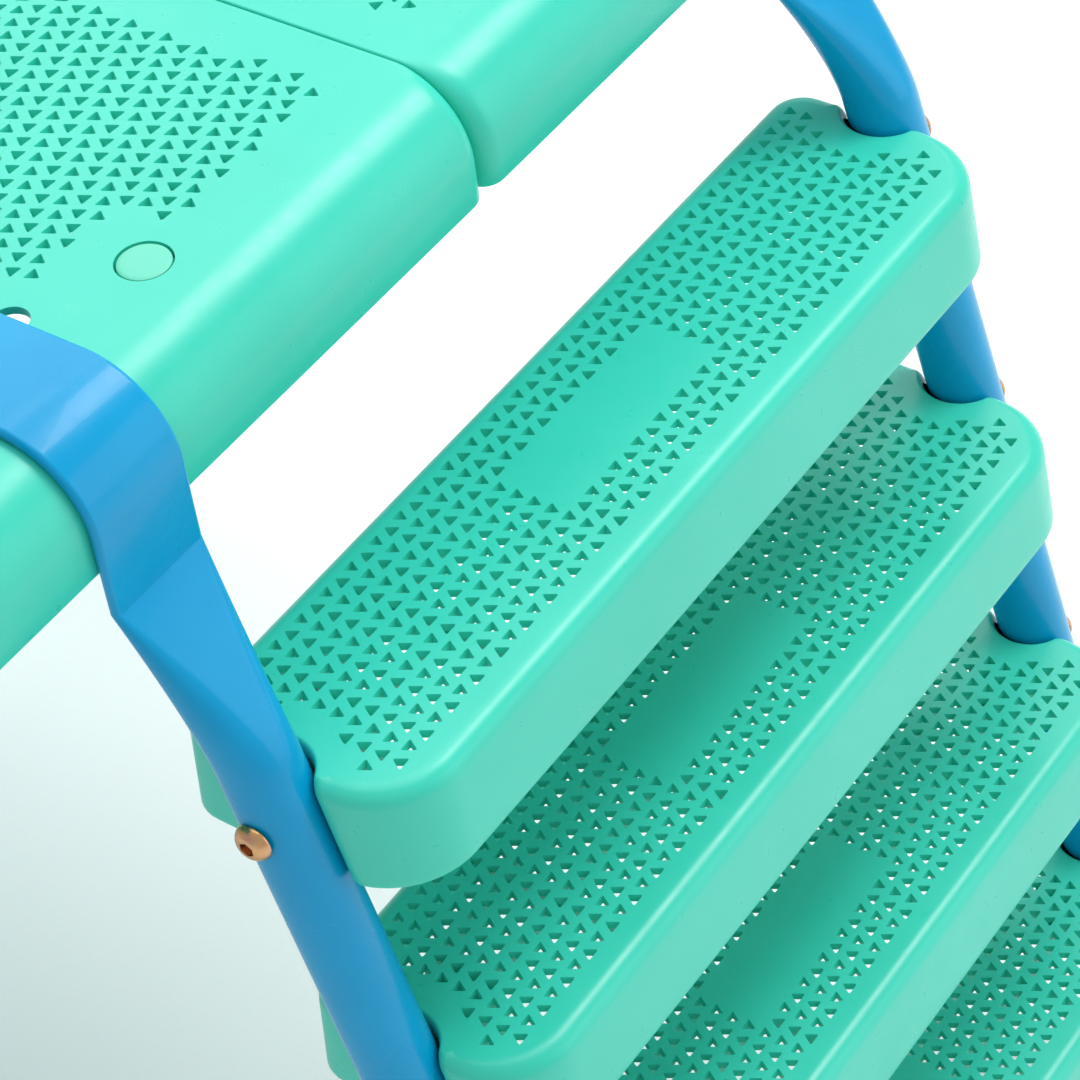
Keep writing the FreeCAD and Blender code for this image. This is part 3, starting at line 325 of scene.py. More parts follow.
@dataclass(frozen=True)
class SeamlessPaper(Finish):
    """Pale studio paper: matt, with barely seen fibres."""
    fibre: float = 3.0

    def material(self) -> bpy.types.Material:
        """Builds the material.

        Returns:
            The material.
        """
        material, tree, where = self.start()
        fibre = self.noise(tree, where, self.fibre, 3.0)
        shader = add_node(tree, "ShaderNodeBsdfPrincipled", {"Roughness": 0.95},
                          {"Base Color": self.tint(tree, self.spread(tree, fibre, 0.0, 1.0)),
                           "Normal": self.relief(tree, fibre, 0.1, 0.05)})
        self.close(tree, shader)
        return material


class Slot(Enum):
    """The record's material slots."""
    TREAD = "tread_polymer"
    CHUTE = "chute_polymer"
    PLUG = "plug_polymer"
    RUBBER = "foot_rubber"
    TUBE = "painted_tube"
    PLATED = "plated_steel"


FINISHES = {
    Slot.TREAD: MouldedPolypropylene("moulded_polypropylene_turquoise", "33cbb3", "3ad0b9"),
    Slot.CHUTE: MouldedPolypropylene("moulded_polypropylene_chute", "33cbb3", "3cd1ba",
                                     roughness=0.24),
    Slot.PLUG: MouldedPolypropylene("moulded_polypropylene_plug", "5fcfb4", "6ad3b6",
                                    roughness=0.4),
    Slot.RUBBER: MouldedRubber("moulded_rubber_black", "26292d", "34373b"),
    Slot.TUBE: EnamelledSteel("enamelled_steel_blue", "0096cb", "009dd2"),
    Slot.PLATED: YellowZincSteel("yellow_zinc_steel", "cf9a5e", "dcb277"),
}


# ---- Mesh helpers --------------------------------------------------------------------------------
def settle(mesh: bpy.types.Mesh, angle: float = SMOOTH_ANGLE, merge: float = 0.002) -> None:
    """Merges doubles, turns faces outwards and smooths all but the sharp edges.

    Args:
        mesh: the mesh, in metres.
        angle: edges that turn by more than this many degrees stay sharp.
        merge: points nearer than this many millimetres become one.
    """
    work = bmesh.new()
    work.from_mesh(mesh)
    bmesh.ops.remove_doubles(work, verts=work.verts, dist=merge * MM)
    bmesh.ops.dissolve_degenerate(work, edges=work.edges, dist=merge * MM / 2)
    bmesh.ops.recalc_face_normals(work, faces=work.faces)
    work.to_mesh(mesh)
    work.free()
    mesh.shade_smooth()
    mesh.set_sharp_from_angle(angle=math.radians(angle))


def new_object(name: str, points: Iterable[Point], faces: Iterable[Sequence[int]],
               angle: float = SMOOTH_ANGLE) -> bpy.types.Object:
    """Makes an object from points in millimetres and faces.

    Args:
        name: the object's name.
        points: corners in millimetres.
        faces: corner numbers of each face.
        angle: edges that turn by more than this many degrees stay sharp.

    Returns:
        The object, linked to the scene.
    """
    mesh = bpy.data.meshes.new(name)
    mesh.from_pydata([Vector(p) * MM for p in points], [], [list(f) for f in faces])
    settle(mesh, angle)
    piece = bpy.data.objects.new(name, mesh)
    bpy.context.scene.collection.objects.link(piece)
    return piece


def stack(rings: Sequence[Ring]) -> Skin:
    """Skins a stack of rings, and closes it with a face on the first and on the last one.

    Args:
        rings: closed rings that all have the same number of points.

    Returns:
        Points and faces.
    """
    count = len(rings[0])
    points = [p for ring in rings for p in ring]
    faces = []
    for low in range(0, (len(rings) - 1) * count, count):
        for j in range(count):
            following = (j + 1) % count
            faces.append([low + j, low + following, low + count + following, low + count + j])
    faces.append(list(range(count))[::-1])
    faces.append([(len(rings) - 1) * count + j for j in range(count)])
    return points, faces


def joined(parts: Iterable[Skin]) -> Skin:
    """Puts several skins together.

    Args:
        parts: skins, each with its own points and faces.

    Returns:
        Points and faces of them all.
    """
    points: list[Point] = []
    faces: list[list[int]] = []
    for more, sides in parts:
        start = len(points)
        points += more
        faces += [[start + k for k in side] for side in sides]
    return points, faces


def bar(start: Point, end: Point, radius: float, sides: int = 24) -> Skin:
    """Makes a closed bar, round or with a few flat sides.

    Args:
        start: middle of one end.
        end: middle of the other end.
        radius: from the bar's axis to its corners.
        sides: number of its sides.

    Returns:
        Points and faces.
    """
    along = (Vector(end) - Vector(start)).normalized()
    across = along.orthogonal().normalized()
    other = along.cross(across)
    rings = []
    for place in (Vector(start), Vector(end)):
        ring = []
        for k in range(sides):
            angle = 2 * math.pi * k / sides
            way = across * math.cos(angle) + other * math.sin(angle)
            ring.append(tuple(place + way * radius))
        rings.append(ring)
    return stack(rings)


def box(x: tuple[float, float], y: tuple[float, float], z: tuple[float, float]) -> Skin:
    """Closed box from three (low, high) pairs."""
    rings = [[(x[0], y[0], h), (x[1], y[0], h), (x[1], y[1], h), (x[0], y[1], h)] for h in z]
    return stack(rings)


def lathe(profile: Sequence[tuple[float, float]], sides: int) -> list[Ring]:
    """Rings of a turned shape, from (radius, height) pairs."""
    return [[(r * math.cos(2 * math.pi * k / sides), r * math.sin(2 * math.pi * k / sides), h)
             for k in range(sides)] for r, h in profile]


def arc_points(centre: tuple[float, float], radius: float, start: float, end: float,
               steps: int) -> Plan:
    """Gives the points of an arc.

    Args:
        centre: the arc's centre.
        radius: its radius.
        start: its first angle, in radians.
        end: its last angle.
        steps: number of points.

    Returns:
        The points, without the one at the last angle.
    """
    return [(centre[0] + radius * math.cos(start + (end - start) * k / steps),
             centre[1] + radius * math.sin(start + (end - start) * k / steps))
            for k in range(steps)]


def islands(node: str) -> list[tuple[Vector, Vector]]:
    """Finds the separate solids in a frame node.

    Args:
        node: the node's name.

    Returns:
        Lowest and highest corner of each solid, in millimetres.
    """
    work = bmesh.new()
    work.from_mesh(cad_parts[node].data)
    bmesh.ops.remove_doubles(work, verts=work.verts, dist=1e-6)
    work.verts.index_update()
    seen: set[int] = set()
    boxes = []
    for vert in work.verts:
        if vert.index in seen:
            continue
        queue = [vert]
        seen.add(vert.index)
        group = []
        while queue:
            current = queue.pop()
            group.append(current.co / MM)
            for edge in current.link_edges:
                far = edge.other_vert(current)
                if far.index not in seen:
                    seen.add(far.index)
                    queue.append(far)
        boxes.append((Vector(min(p[a] for p in group) for a in range(3)),
                      Vector(max(p[a] for p in group) for a in range(3))))
    work.free()
    return sorted(boxes, key=lambda b: tuple(round(c, 1) for c in b[0]))


def remove(*objects: bpy.types.Object) -> None:
    """Takes helper objects out of the scene."""
    for helper in objects:
        bpy.data.objects.remove(helper)


# ---- Geometry Nodes ------------------------------------------------------------------------------
class NodeRecipe:
    """A Geometry Nodes tree with named inputs, and the way to run it on an object."""

    def __init__(self, name: str, inputs: Sequence[tuple[str, str]]) -> None:
        """Makes the tree with its sockets.

        Args:
            name: the tree's name.
            inputs: names and socket types of the inputs after the geometry.
        """
        self.tree = bpy.data.node_groups.new(name, "GeometryNodeTree")
        self.tree.interface.new_socket("Geometry", in_out="INPUT", socket_type="NodeSocketGeometry")
        for label, kind in inputs:
            self.tree.interface.new_socket(label, in_out="INPUT", socket_type=kind)
        self.tree.interface.new_socket("Geometry", in_out="OUTPUT",
                                       socket_type="NodeSocketGeometry")
        self.given = add_node(self.tree, "NodeGroupInput").outputs

    def add(self, kind: str, settings: Optional[dict] = None,
            links: Optional[dict] = None) -> bpy.types.Node:
        """Adds a node to the tree.

        Args:
            kind: the node's type.
            settings: its properties and the values of its inputs.
            links: sockets that its inputs are joined to.

        Returns:
            The node.
        """
        return add_node(self.tree, kind, settings, links)

    def end(self, geometry: bpy.types.NodeSocket) -> None:
        """Closes the tree with real geometry and its material."""
        real = self.add("GeometryNodeRealizeInstances", links={"Geometry": geometry})
        dressed = self.add("GeometryNodeSetMaterial", links={"Geometry": real.outputs[0],
                                                             "Material": self.given["Material"]})
        self.add("NodeGroupOutput", links={"Geometry": dressed.outputs[0]})

    def run(self, piece: bpy.types.Object, values: dict) -> None:
        """Runs the tree on an object and keeps the result as its plain mesh.

        Args:
            piece: the object that the tree changes.
            values: the tree's inputs by name.
        """
        modifier = piece.modifiers.new(self.tree.name, "NODES")
        modifier.node_group = self.tree
        names = {item.name: item.identifier for item in self.tree.interface.items_tree
                 if item.in_out == "INPUT"}
        for label, value in values.items():
            modifier[names[label]] = value
        bpy.context.view_layer.update()
        evaluated = piece.evaluated_get(bpy.context.evaluated_depsgraph_get())
        mesh = bpy.data.meshes.new_from_object(evaluated)
        piece.modifiers.remove(modifier)
        piece.data = mesh
        settle(mesh)


@dataclass(frozen=True)
class Hole:
    """A three-cornered hole with rounded corners; its cutter is narrower at the bottom."""
    width: float = 5.7
    height: float = 5.0
    corner: float = 0.22
    narrow: float = 0.484            # the cutter's bottom against the hole's size at the surface
    flare: float = 2.6               # the cutter's top against its bottom
    depth_past_wall: float = 1.0


HOLE = Hole()


def perforation_recipe() -> NodeRecipe:
    """Tree that joins ribs to a shell and then cuts openings and rows of three-cornered holes.

    Returns:
        The tree.
    """
    recipe = NodeRecipe("perforations", [
        ("Ribs", "NodeSocketObject"), ("Openings", "NodeSocketObject"),
        ("Hole Places", "NodeSocketObject"), ("Hole Width", "NodeSocketFloat"),
        ("Hole Height", "NodeSocketFloat"), ("Corner Radius", "NodeSocketFloat"),
        ("Depth", "NodeSocketFloat"), ("Material", "NodeSocketMaterial")])
    given = recipe.given
    circumradius = recipe.add("ShaderNodeMath",
                              {"operation": "DIVIDE", 1: math.sqrt(3) / HOLE.narrow},
                              {0: given["Hole Width"]})
    triangle = recipe.add("GeometryNodeCurvePrimitiveCircle", {"mode": "RADIUS", "Resolution": 3},
                          {"Radius": circumradius.outputs[0]})
    height = recipe.add("ShaderNodeMath", {"operation": "MULTIPLY", 1: 1.5},
                        {0: circumradius.outputs[0]})
    lowest = recipe.add("ShaderNodeMath", {"operation": "MULTIPLY", 1: HOLE.narrow},
                        {0: given["Hole Height"]})
    stretch = recipe.add("ShaderNodeMath", {"operation": "DIVIDE"},
                         {0: lowest.outputs[0], 1: height.outputs[0]})
    scale = recipe.add("ShaderNodeCombineXYZ", {"Y": 1.0, "Z": 1.0}, {"X": stretch.outputs[0]})
    centring = recipe.add("ShaderNodeMath", {"operation": "MULTIPLY", 1: -1 / 6},
                          {0: given["Hole Height"]})
    lift = recipe.add("ShaderNodeCombineXYZ", links={"Y": centring.outputs[0]})
    bottom = recipe.add("ShaderNodeMath", {"operation": "MULTIPLY", 1: -1.0}, {0: given["Depth"]})
    recipe.tree.links.new(bottom.outputs[0], lift.inputs["Z"])
    rounded = recipe.add("GeometryNodeFilletCurve", {"mode": "POLY", "Count": 2},
                         {"Curve": triangle.outputs[0], "Radius": given["Corner Radius"]})
    face = recipe.add("GeometryNodeFillCurve", {"mode": "NGONS"}, {"Curve": rounded.outputs[0]})
    rise = recipe.add("ShaderNodeMath", {"operation": "MULTIPLY", 1: 1.5}, {0: given["Depth"]})
    upward = recipe.add("ShaderNodeCombineXYZ", links={"Z": rise.outputs[0]})
    walls = recipe.add("GeometryNodeExtrudeMesh", {"mode": "FACES", "Individual": False},
                       {"Mesh": face.outputs[0], "Offset": upward.outputs[0]})
    flare = recipe.add("GeometryNodeScaleElements", {"domain": "FACE", "Scale": HOLE.flare},
                       {"Geometry": walls.outputs["Mesh"], "Selection": walls.outputs["Top"]})
    floor = recipe.add("GeometryNodeFlipFaces", links={"Mesh": face.outputs[0]})
    both = recipe.add("GeometryNodeJoinGeometry", links={"Geometry": flare.outputs[0]})
    recipe.tree.links.new(floor.outputs[0], both.inputs[0])
    closed = recipe.add("GeometryNodeMergeByDistance", {"Distance": 1e-6},
                        {"Geometry": both.outputs[0]})
    prism = recipe.add("GeometryNodeTransform", {"Rotation": (0.0, 0.0, math.pi / 2)},
                       {"Geometry": closed.outputs[0], "Translation": lift.outputs[0],
                        "Scale": scale.outputs[0]})
    places = recipe.add("GeometryNodeObjectInfo", links={"Object": given["Hole Places"]})
    turn = recipe.add("GeometryNodeInputNamedAttribute", {"data_type": "FLOAT", "Name": "turn"})
    euler = recipe.add("ShaderNodeCombineXYZ", links={"Z": turn.outputs[0]})
    rotation = recipe.add("FunctionNodeEulerToRotation", links={0: euler.outputs[0]})
    holes = recipe.add("GeometryNodeInstanceOnPoints",
                       links={"Points": places.outputs["Geometry"], "Instance": prism.outputs[0],
                              "Rotation": rotation.outputs[0]})
    cutters = recipe.add("GeometryNodeRealizeInstances", links={"Geometry": holes.outputs[0]})
    ribs = recipe.add("GeometryNodeObjectInfo", links={"Object": given["Ribs"]})
    openings = recipe.add("GeometryNodeObjectInfo", links={"Object": given["Openings"]})
    difference = {"operation": "DIFFERENCE", "solver": "MANIFOLD"}
    solid = recipe.add("GeometryNodeMeshBoolean", {"operation": "UNION", "solver": "MANIFOLD"},
                       {1: given["Geometry"]})
    recipe.tree.links.new(ribs.outputs["Geometry"], solid.inputs[1])
    opened = recipe.add("GeometryNodeMeshBoolean", difference,
                        {0: solid.outputs[0], 1: openings.outputs["Geometry"]})
    cut = recipe.add("GeometryNodeMeshBoolean", difference,
                     {0: opened.outputs[0], 1: cutters.outputs[0]})
    recipe.end(cut.outputs[0])
    return recipe


def repeat_recipe() -> NodeRecipe:
    """Tree that sets a pattern piece on each place, turned as the place's aim says.

    Returns:
        The tree; its places carry an attribute with their aim.
    """
    recipe = NodeRecipe("repeated_fittings", [("Pattern", "NodeSocketObject"),
                                              ("Size", "NodeSocketFloat"),
                                              ("Material", "NodeSocketMaterial")])
    pattern = recipe.add("GeometryNodeObjectInfo", {"As Instance": True},
                         {"Object": recipe.given["Pattern"]})
    aim = recipe.add("GeometryNodeInputNamedAttribute",
                     {"data_type": "FLOAT_VECTOR", "Name": "aim"})
    rotation = recipe.add("FunctionNodeEulerToRotation", links={0: aim.outputs[0]})
    copies = recipe.add("GeometryNodeInstanceOnPoints",
                        links={"Points": recipe.given["Geometry"],
                               "Instance": pattern.outputs["Geometry"],
                               "Rotation": rotation.outputs[0], "Scale": recipe.given["Size"]})
    recipe.end(copies.outputs[0])
    return recipe


def place_points(name: str, points: Sequence[Point], turns: Optional[Sequence[float]] = None,
                 aims: Optional[Sequence[Vector]] = None) -> bpy.types.Object:
    """Object of loose points with the turn or the aim of what goes on each.

    Args:
        name: the object's name.
        points: places in millimetres.
        turns: turns about the upright, in radians.
        aims: directions that a pattern's +Z is turned to.

    Returns:
        The object, linked to the scene.
    """
    mesh = bpy.data.meshes.new(name)
    mesh.from_pydata([Vector(p) * MM for p in points], [], [])
    if turns is not None:
        store = mesh.attributes.new("turn", "FLOAT", "POINT")
        store.data.foreach_set("value", list(turns))
    if aims is not None:
        store = mesh.attributes.new("aim", "FLOAT_VECTOR", "POINT")
        flat = []
        for aim in aims:
            flat += list(Vector(aim).to_track_quat("Z", "Y").to_euler())
        store.data.foreach_set("vector", flat)
    places = bpy.data.objects.new(name, mesh)
    bpy.context.scene.collection.objects.link(places)
    return places


# ---- The workshop: what every sub-assembly shares ------------------------------------------------
@dataclass
class Workshop:
    """Materials by slot, the two recipes, and the last steps of every piece."""
    materials: dict[Slot, bpy.types.Material] = field(init=False)
    perforate: NodeRecipe = field(init=False)
    repeat: NodeRecipe = field(init=False)

    def __post_init__(self) -> None:
        """Builds the materials and the trees."""
        self.materials = {slot: finish.material() for slot, finish in FINISHES.items()}
        self.perforate = perforation_recipe()
        self.repeat = repeat_recipe()

    def dress(self, piece: bpy.types.Object, slot: Slot, *nodes: str) -> bpy.types.Object:
        """Gives a piece its finish, its body and the frame nodes that it stands for.

        Args:
            piece: the finished piece.
            slot: the record's slot that the finish belongs to.
            nodes: frame nodes that the piece replaces.

        Returns:
            The piece.
        """
        piece.data.materials.clear()
        piece.data.materials.append(self.materials[slot])
        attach(piece, "root")
        if nodes:
            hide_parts(*nodes)
        LOG.info("%s: %d faces, for %s", piece.name, len(piece.data.polygons), ", ".join(nodes))
        return piece

    def recoat(self, node: str, slot: Slot) -> None:
        """Puts a finish on a frame node whose shape is kept.

        Args:
            node: the frame node's name.
            slot: the record's slot that the finish belongs to.
        """
        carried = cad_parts[node]
        if not carried.material_slots:
            carried.data.materials.append(self.materials[slot])
        for held in carried.material_slots:
            held.material = self.materials[slot]
        LOG.info("%s: kept from the frame", node)

    def fittings(self, name: str, node: str, slot: Slot, pattern: bpy.types.Object,
                 places: Sequence[Point], aims: Sequence[Vector]) -> bpy.types.Object:
        """Sets a pattern on several places as one piece.

        Args:
            name: the piece's name.
            node: the frame node that it stands for.
            slot: the record's slot that its finish belongs to.
            pattern: the object that is repeated; it is taken away afterwards.
            places: where it is set, in millimetres.
            aims: where its +Z points at each place.

        Returns:
            The piece.
        """
        seats = place_points(name, places, aims=aims)
        self.repeat.run(seats, {"Pattern": pattern, "Size": 1.0, "Material": self.materials[slot]})
        remove(pattern)
        return self.dress(seats, slot, node)

    def perforated(self, shell: bpy.types.Object, ribs: bpy.types.Object,
                   openings: bpy.types.Object, places: bpy.types.Object, wall: float,
                   node: str) -> bpy.types.Object:
        """Joins ribs to a moulded shell, cuts its openings and holes, and dresses it.

        Args:
            shell: the closed shell; the other three objects are taken away afterwards.
            ribs: what is joined to it.
            openings: what is cut from it.
            places: where the three-cornered holes are.
            wall: the shell's thickness in millimetres.
            node: the frame node that it stands for.

        Returns:
            The piece.
        """
        self.perforate.run(shell, {"Ribs": ribs, "Openings": openings, "Hole Places": places,
                                   "Hole Width": HOLE.width * MM, "Hole Height": HOLE.height * MM,
                                   "Corner Radius": HOLE.corner * MM,
                                   "Depth": (wall + HOLE.depth_past_wall) * MM,
                                   "Material": self.materials[Slot.TREAD]})
        remove(ribs, openings, places)
        return self.dress(shell, Slot.TREAD, node)


# ---- Treads --------------------------------------------------------------------------------------
@dataclass
class Tread:
    """One moulded tread: a skirted shell with notched ends, ribs, bosses and a field of holes."""
    number: int
    end_inset: float = 2.5
    front: float = 51.0
    back: float = 40.0
    skirt: float = 40.0
    draft: float = 3.5
    wall: float = 2.8
    rim: float = 0.8                 # rounding of the skirt's lower edge
    edge_radius: float = 6.5
    front_corner: float = 32.0
    back_corner: float = 14.0
    notch_clearance: float = 1.2
    mouth_radius: float = 6.0
    notch_edge: float = 2.2
    pitch: float = 6.88
    row_pitch: float = 7.18
    columns: int = 25
    rows: int = 10
    first_row: float = -35.1
    blank_columns: int = 6
    blank_rows: tuple[int, int] = (3, 6)
    notch_margin: float = 27.7
    corner_margin: float = 21.0
    rib: float = 2.4
    rib_depth: float = 12.0
    cross_ribs: tuple[float, float] = (37.8, 106.6)
    long_ribs: tuple[float, float] = (-10.0, 11.6)
    bolt_drop: float = 17.0
    boss_width: float = 24.0
    boss_inward: float = 12.0        # how far the boss reaches from the nut's seat, each way
    boss_outward: float = 12.6
    rib_overlap: float = 6.0         # how far a long rib runs into the bosses
    nut_depth: float = 14.0          # from the notch to the nut's seat
    pocket: float = 13.4
    pocket_length: float = 20.0
    bore_radius: float = 4.3

    def __post_init__(self) -> None:
        """Takes the tread's place from the frame."""
        low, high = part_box(self.node())
        self.top = high.z / MM
        self.axis_y = high.y / MM - self.back - self.draft / 2
        self.nut_seat = HALF_SPACING - TUBE_RADIUS - self.notch_clearance - self.nut_depth

    def node(self) -> str:
        """Name of the frame node."""
        return f"step_{self.number}"

    def half_plan(self, inset: float, depth: float, notch_inset: float) -> Plan:
        """Right half of the outline, from the front middle round the notch to the back middle.

        Args:
            inset: how far the outline is drawn in.
            depth: distance below the tread's top.
            notch_inset: how far the notch's own edge is drawn in.

        Returns:
            Points that always have the same number and order.
        """
        grow = self.draft * depth / self.skirt
        half = HALF_SPACING - self.end_inset + grow / 2 - inset
        front = self.front + grow - inset
        back = self.back + grow / 2 - inset
        front_r = self.front_corner - inset
        back_r = self.back_corner - inset
        mouth = self.mouth_radius - inset
        notch = TUBE_RADIUS + self.notch_clearance + notch_inset
        reach = TUBE_RADIUS + self.notch_clearance + self.mouth_radius
        centre = Vector((HALF_SPACING, -depth * LEAN))

        def at(s: float) -> tuple[Vector, Vector]:
            """Finds a place on the outline and its outward direction.

            Args:
                s: number of the side, 0 to 4, plus the share of it.

            Returns:
                The place and the direction.
            """
            piece = min(int(s), 4)
            share = s - piece
            if piece == 0:
                return Vector((share * (half - front_r), -front)), Vector((0, -1))
            if piece == 1:
                angle = -math.pi / 2 * (1 - share)
                way = Vector((math.cos(angle), math.sin(angle)))
                return Vector((half - front_r, front_r - front)) + way * front_r, way
            if piece == 2:
                low, high = front_r - front, back - back_r
                return Vector((half, low + share * (high - low))), Vector((1, 0))
            if piece == 3:
                angle = math.pi / 2 * share
                way = Vector((math.cos(angle), math.sin(angle)))
                return Vector((half - back_r, back - back_r)) + way * back_r, way
            return Vector(((1 - share) * (half - back_r), back)), Vector((0, 1))

        def clear(s: float) -> float:
            """How far the lip's rounding at a place stays clear of the notch."""
            point, way = at(s)
            return (point - way * mouth - centre).length - reach

        def crossing(inside: float, outside: float) -> float:
            """Where the notch's lip begins, between a place in it and one out of it."""
            for _ in range(40):
                middle = (inside + outside) / 2
                inside, outside = (middle, outside) if clear(middle) < 0 else (inside, middle)
            return outside

        scan = [1 + 3 * k / 300 for k in range(301)]
        within = [s for s in scan if clear(s) < 0]
        first = crossing(within[0], within[0] - 0.01)
        last = crossing(within[-1], within[-1] + 0.01)
        plan: Plan = []

        def walk(start: float, end: float, steps: int) -> None:
            """Adds points along the outline."""
            plan.extend(tuple(at(start + (end - start) * k / steps)[0]) for k in range(steps))

        def lip(s: float, from_edge: bool) -> None:
            """Adds the rounding between the outline and the notch.

            Args:
                s: where the rounding meets the outline.
                from_edge: whether it runs from the outline into the notch.
            """
            point, way = at(s)
            middle = point - way * mouth
            edge_angle = math.atan2(way.y, way.x)
            to_notch = centre - middle
            notch_angle = math.atan2(to_notch.y, to_notch.x)
            for k in range(6):
                share = k / 6 if from_edge else 1 - k / 6
                angle = edge_angle + (notch_angle - edge_angle) * share
                radius = mouth + (self.mouth_radius - notch_inset - mouth) * share
                plan.append((middle.x + radius * math.cos(angle),
                             middle.y + radius * math.sin(angle)))

        def side(s: float) -> float:
            """Angle of the lip's middle, seen from the notch's centre."""
            point, way = at(s)
            out = point - way * mouth - centre
            return math.atan2(out.y, out.x) % (2 * math.pi)

        walk(0, 1, 12)
        walk(1, first, 16)
        lip(first, True)
        plan.extend(arc_points(tuple(centre), notch, side(first), side(last), 18))
        lip(last, False)
        walk(last, 4, 12)
        walk(4, 5, 12)
        plan.append(tuple(at(5)[0]))
        return plan

    def ring(self, inset: float, depth: float, notch_inset: Optional[float] = None) -> Ring:
        """Gives the whole outline at a depth.

        Args:
            inset: how far the outline is drawn in.
            depth: distance below the tread's top.
            notch_inset: how far the notch's own edge is drawn in, where it differs.

        Returns:
            Points in the slide's frame.
        """
        right = self.half_plan(inset, depth, inset if notch_inset is None else notch_inset)
        left = [(-x, y) for x, y in right[-2:0:-1]]
        return [(x, y + self.axis_y, self.top - depth) for x, y in right + left]

    def shell(self) -> bpy.types.Object:
        """Closed shell: rounded top edge, drafted skirt, thin rim and the inner face.

        Returns:
            The shell, without its ribs and holes.
        """
        # a narrow ring inside the flat top keeps the shading of the rounded edge clean
        rings = [self.ring(self.edge_radius + 0.8, 0.0, self.notch_edge + 0.8)]
        for k in range(9):
            angle = math.pi / 2 * k / 8
            rings.append(self.ring(self.edge_radius * (1 - math.sin(angle)),
                                   self.edge_radius * (1 - math.cos(angle)),
                                   self.notch_edge * (1 - math.sin(angle))))
        for share in (0.2, 0.45, 0.7, 0.9):
            rings.append(self.ring(0.0, self.edge_radius + (self.skirt - self.edge_radius) * share))
        rings += [self.ring(0.0, self.skirt - self.rim), self.ring(0.25, self.skirt - 0.2),
                  self.ring(self.rim, self.skirt), self.ring(self.wall - 0.6, self.skirt),
                  self.ring(self.wall, self.skirt - 0.6)]
        for depth in (0.7, 0.4, 0.2):
            rings.append(self.ring(self.wall, self.skirt * depth))
        inner = self.edge_radius - self.wall
        for k in range(5):
            angle = math.pi / 2 * (1 - k / 4)
            rings.append(self.ring(self.wall + inner * (1 - math.sin(angle)),
                                   self.wall + inner * (1 - math.cos(angle))))
        points, faces = stack(rings)
        return new_object(f"tread_{self.number}", points, faces)

    def ribs(self) -> bpy.types.Object:
        """Stiffening ribs and the bosses that hold the nuts, as boxes that end in the walls.

        Returns:
            The ribs and bosses.
        """
        under = (self.top - self.wall - self.rib_depth, self.top - self.wall * 0.7)
        sink = self.wall - 0.2
        parts = []
        for x in self.cross_ribs:
            for way in MIRROR:
                parts.append(box((way * x - self.rib / 2, way * x + self.rib / 2),
                                 (self.axis_y - self.front + sink, self.axis_y + self.back - sink),
                                 under))
        bolt_y = self.axis_y - self.bolt_drop * LEAN
        for y in self.long_ribs:
            parts.append(box((-self.nut_seat + self.rib_overlap, self.nut_seat - self.rib_overlap),
                             (self.axis_y + y - self.rib / 2, self.axis_y + y + self.rib / 2),
                             under))
        for way in MIRROR:
            ends = sorted((way * (self.nut_seat - self.boss_inward),
                           way * (self.nut_seat + self.boss_outward)))
            parts.append(box((ends[0], ends[1]),
                             (bolt_y - self.boss_width / 2, bolt_y + self.boss_width / 2),
                             (self.top - self.bolt_drop - self.boss_width / 2, under[1])))
        return new_object(f"ribs_{self.number}", *joined(parts))

    def openings(self) -> bpy.types.Object:
        """Hexagonal pockets for the nuts and the bores for the bolts.

        Returns:
            The cutters.
        """
        y = self.axis_y - self.bolt_drop * LEAN
        z = self.top - self.bolt_drop
        parts = []
        for way in MIRROR:
            parts.append(bar((way * (self.nut_seat - self.pocket_length), y, z),
                             (way * self.nut_seat, y, z), self.pocket / math.sqrt(3), 6))
            # the bore starts a hair past the pocket, so that the two cutters don't touch
            parts.append(bar((way * (self.nut_seat + 0.01), y, z),
                             (way * (HALF_SPACING + 4), y, z), self.bore_radius))
        return new_object(f"openings_{self.number}", *joined(parts))

    def hole_places(self) -> bpy.types.Object:
        """Centres of the holes: a plain grid that leaves out the blank patch and the ends.

        Returns:
            One point for each hole, with its turn.
        """
        points, turns = [], []
        corner = Vector((HALF_SPACING - self.end_inset - self.front_corner,
                         self.front_corner - self.front))
        for row in range(self.rows):
            y = self.first_row + row * self.row_pitch
            for column in range(-self.columns, self.columns + 1):
                x = column * self.pitch
                place = Vector((abs(x), y))
                patch = (abs(column) <= self.blank_columns
                         and self.blank_rows[0] <= row <= self.blank_rows[1])
                by_tube = (place - Vector((HALF_SPACING, 0))).length < self.notch_margin
                by_corner = (place.x > corner.x and place.y < corner.y
                             and (place - corner).length > self.corner_margin)
                if not (patch or by_tube or by_corner):
                    points.append((x, y + self.axis_y, self.top))
                    turns.append(0.0 if column % 2 == 0 else math.pi)
        return place_points(f"holes_{self.number}", points, turns=turns)

    def build(self, shop: Workshop) -> bpy.types.Object:
        """Builds and dresses the tread."""
        return shop.perforated(self.shell(), self.ribs(), self.openings(), self.hole_places(),
                               self.wall, self.node())


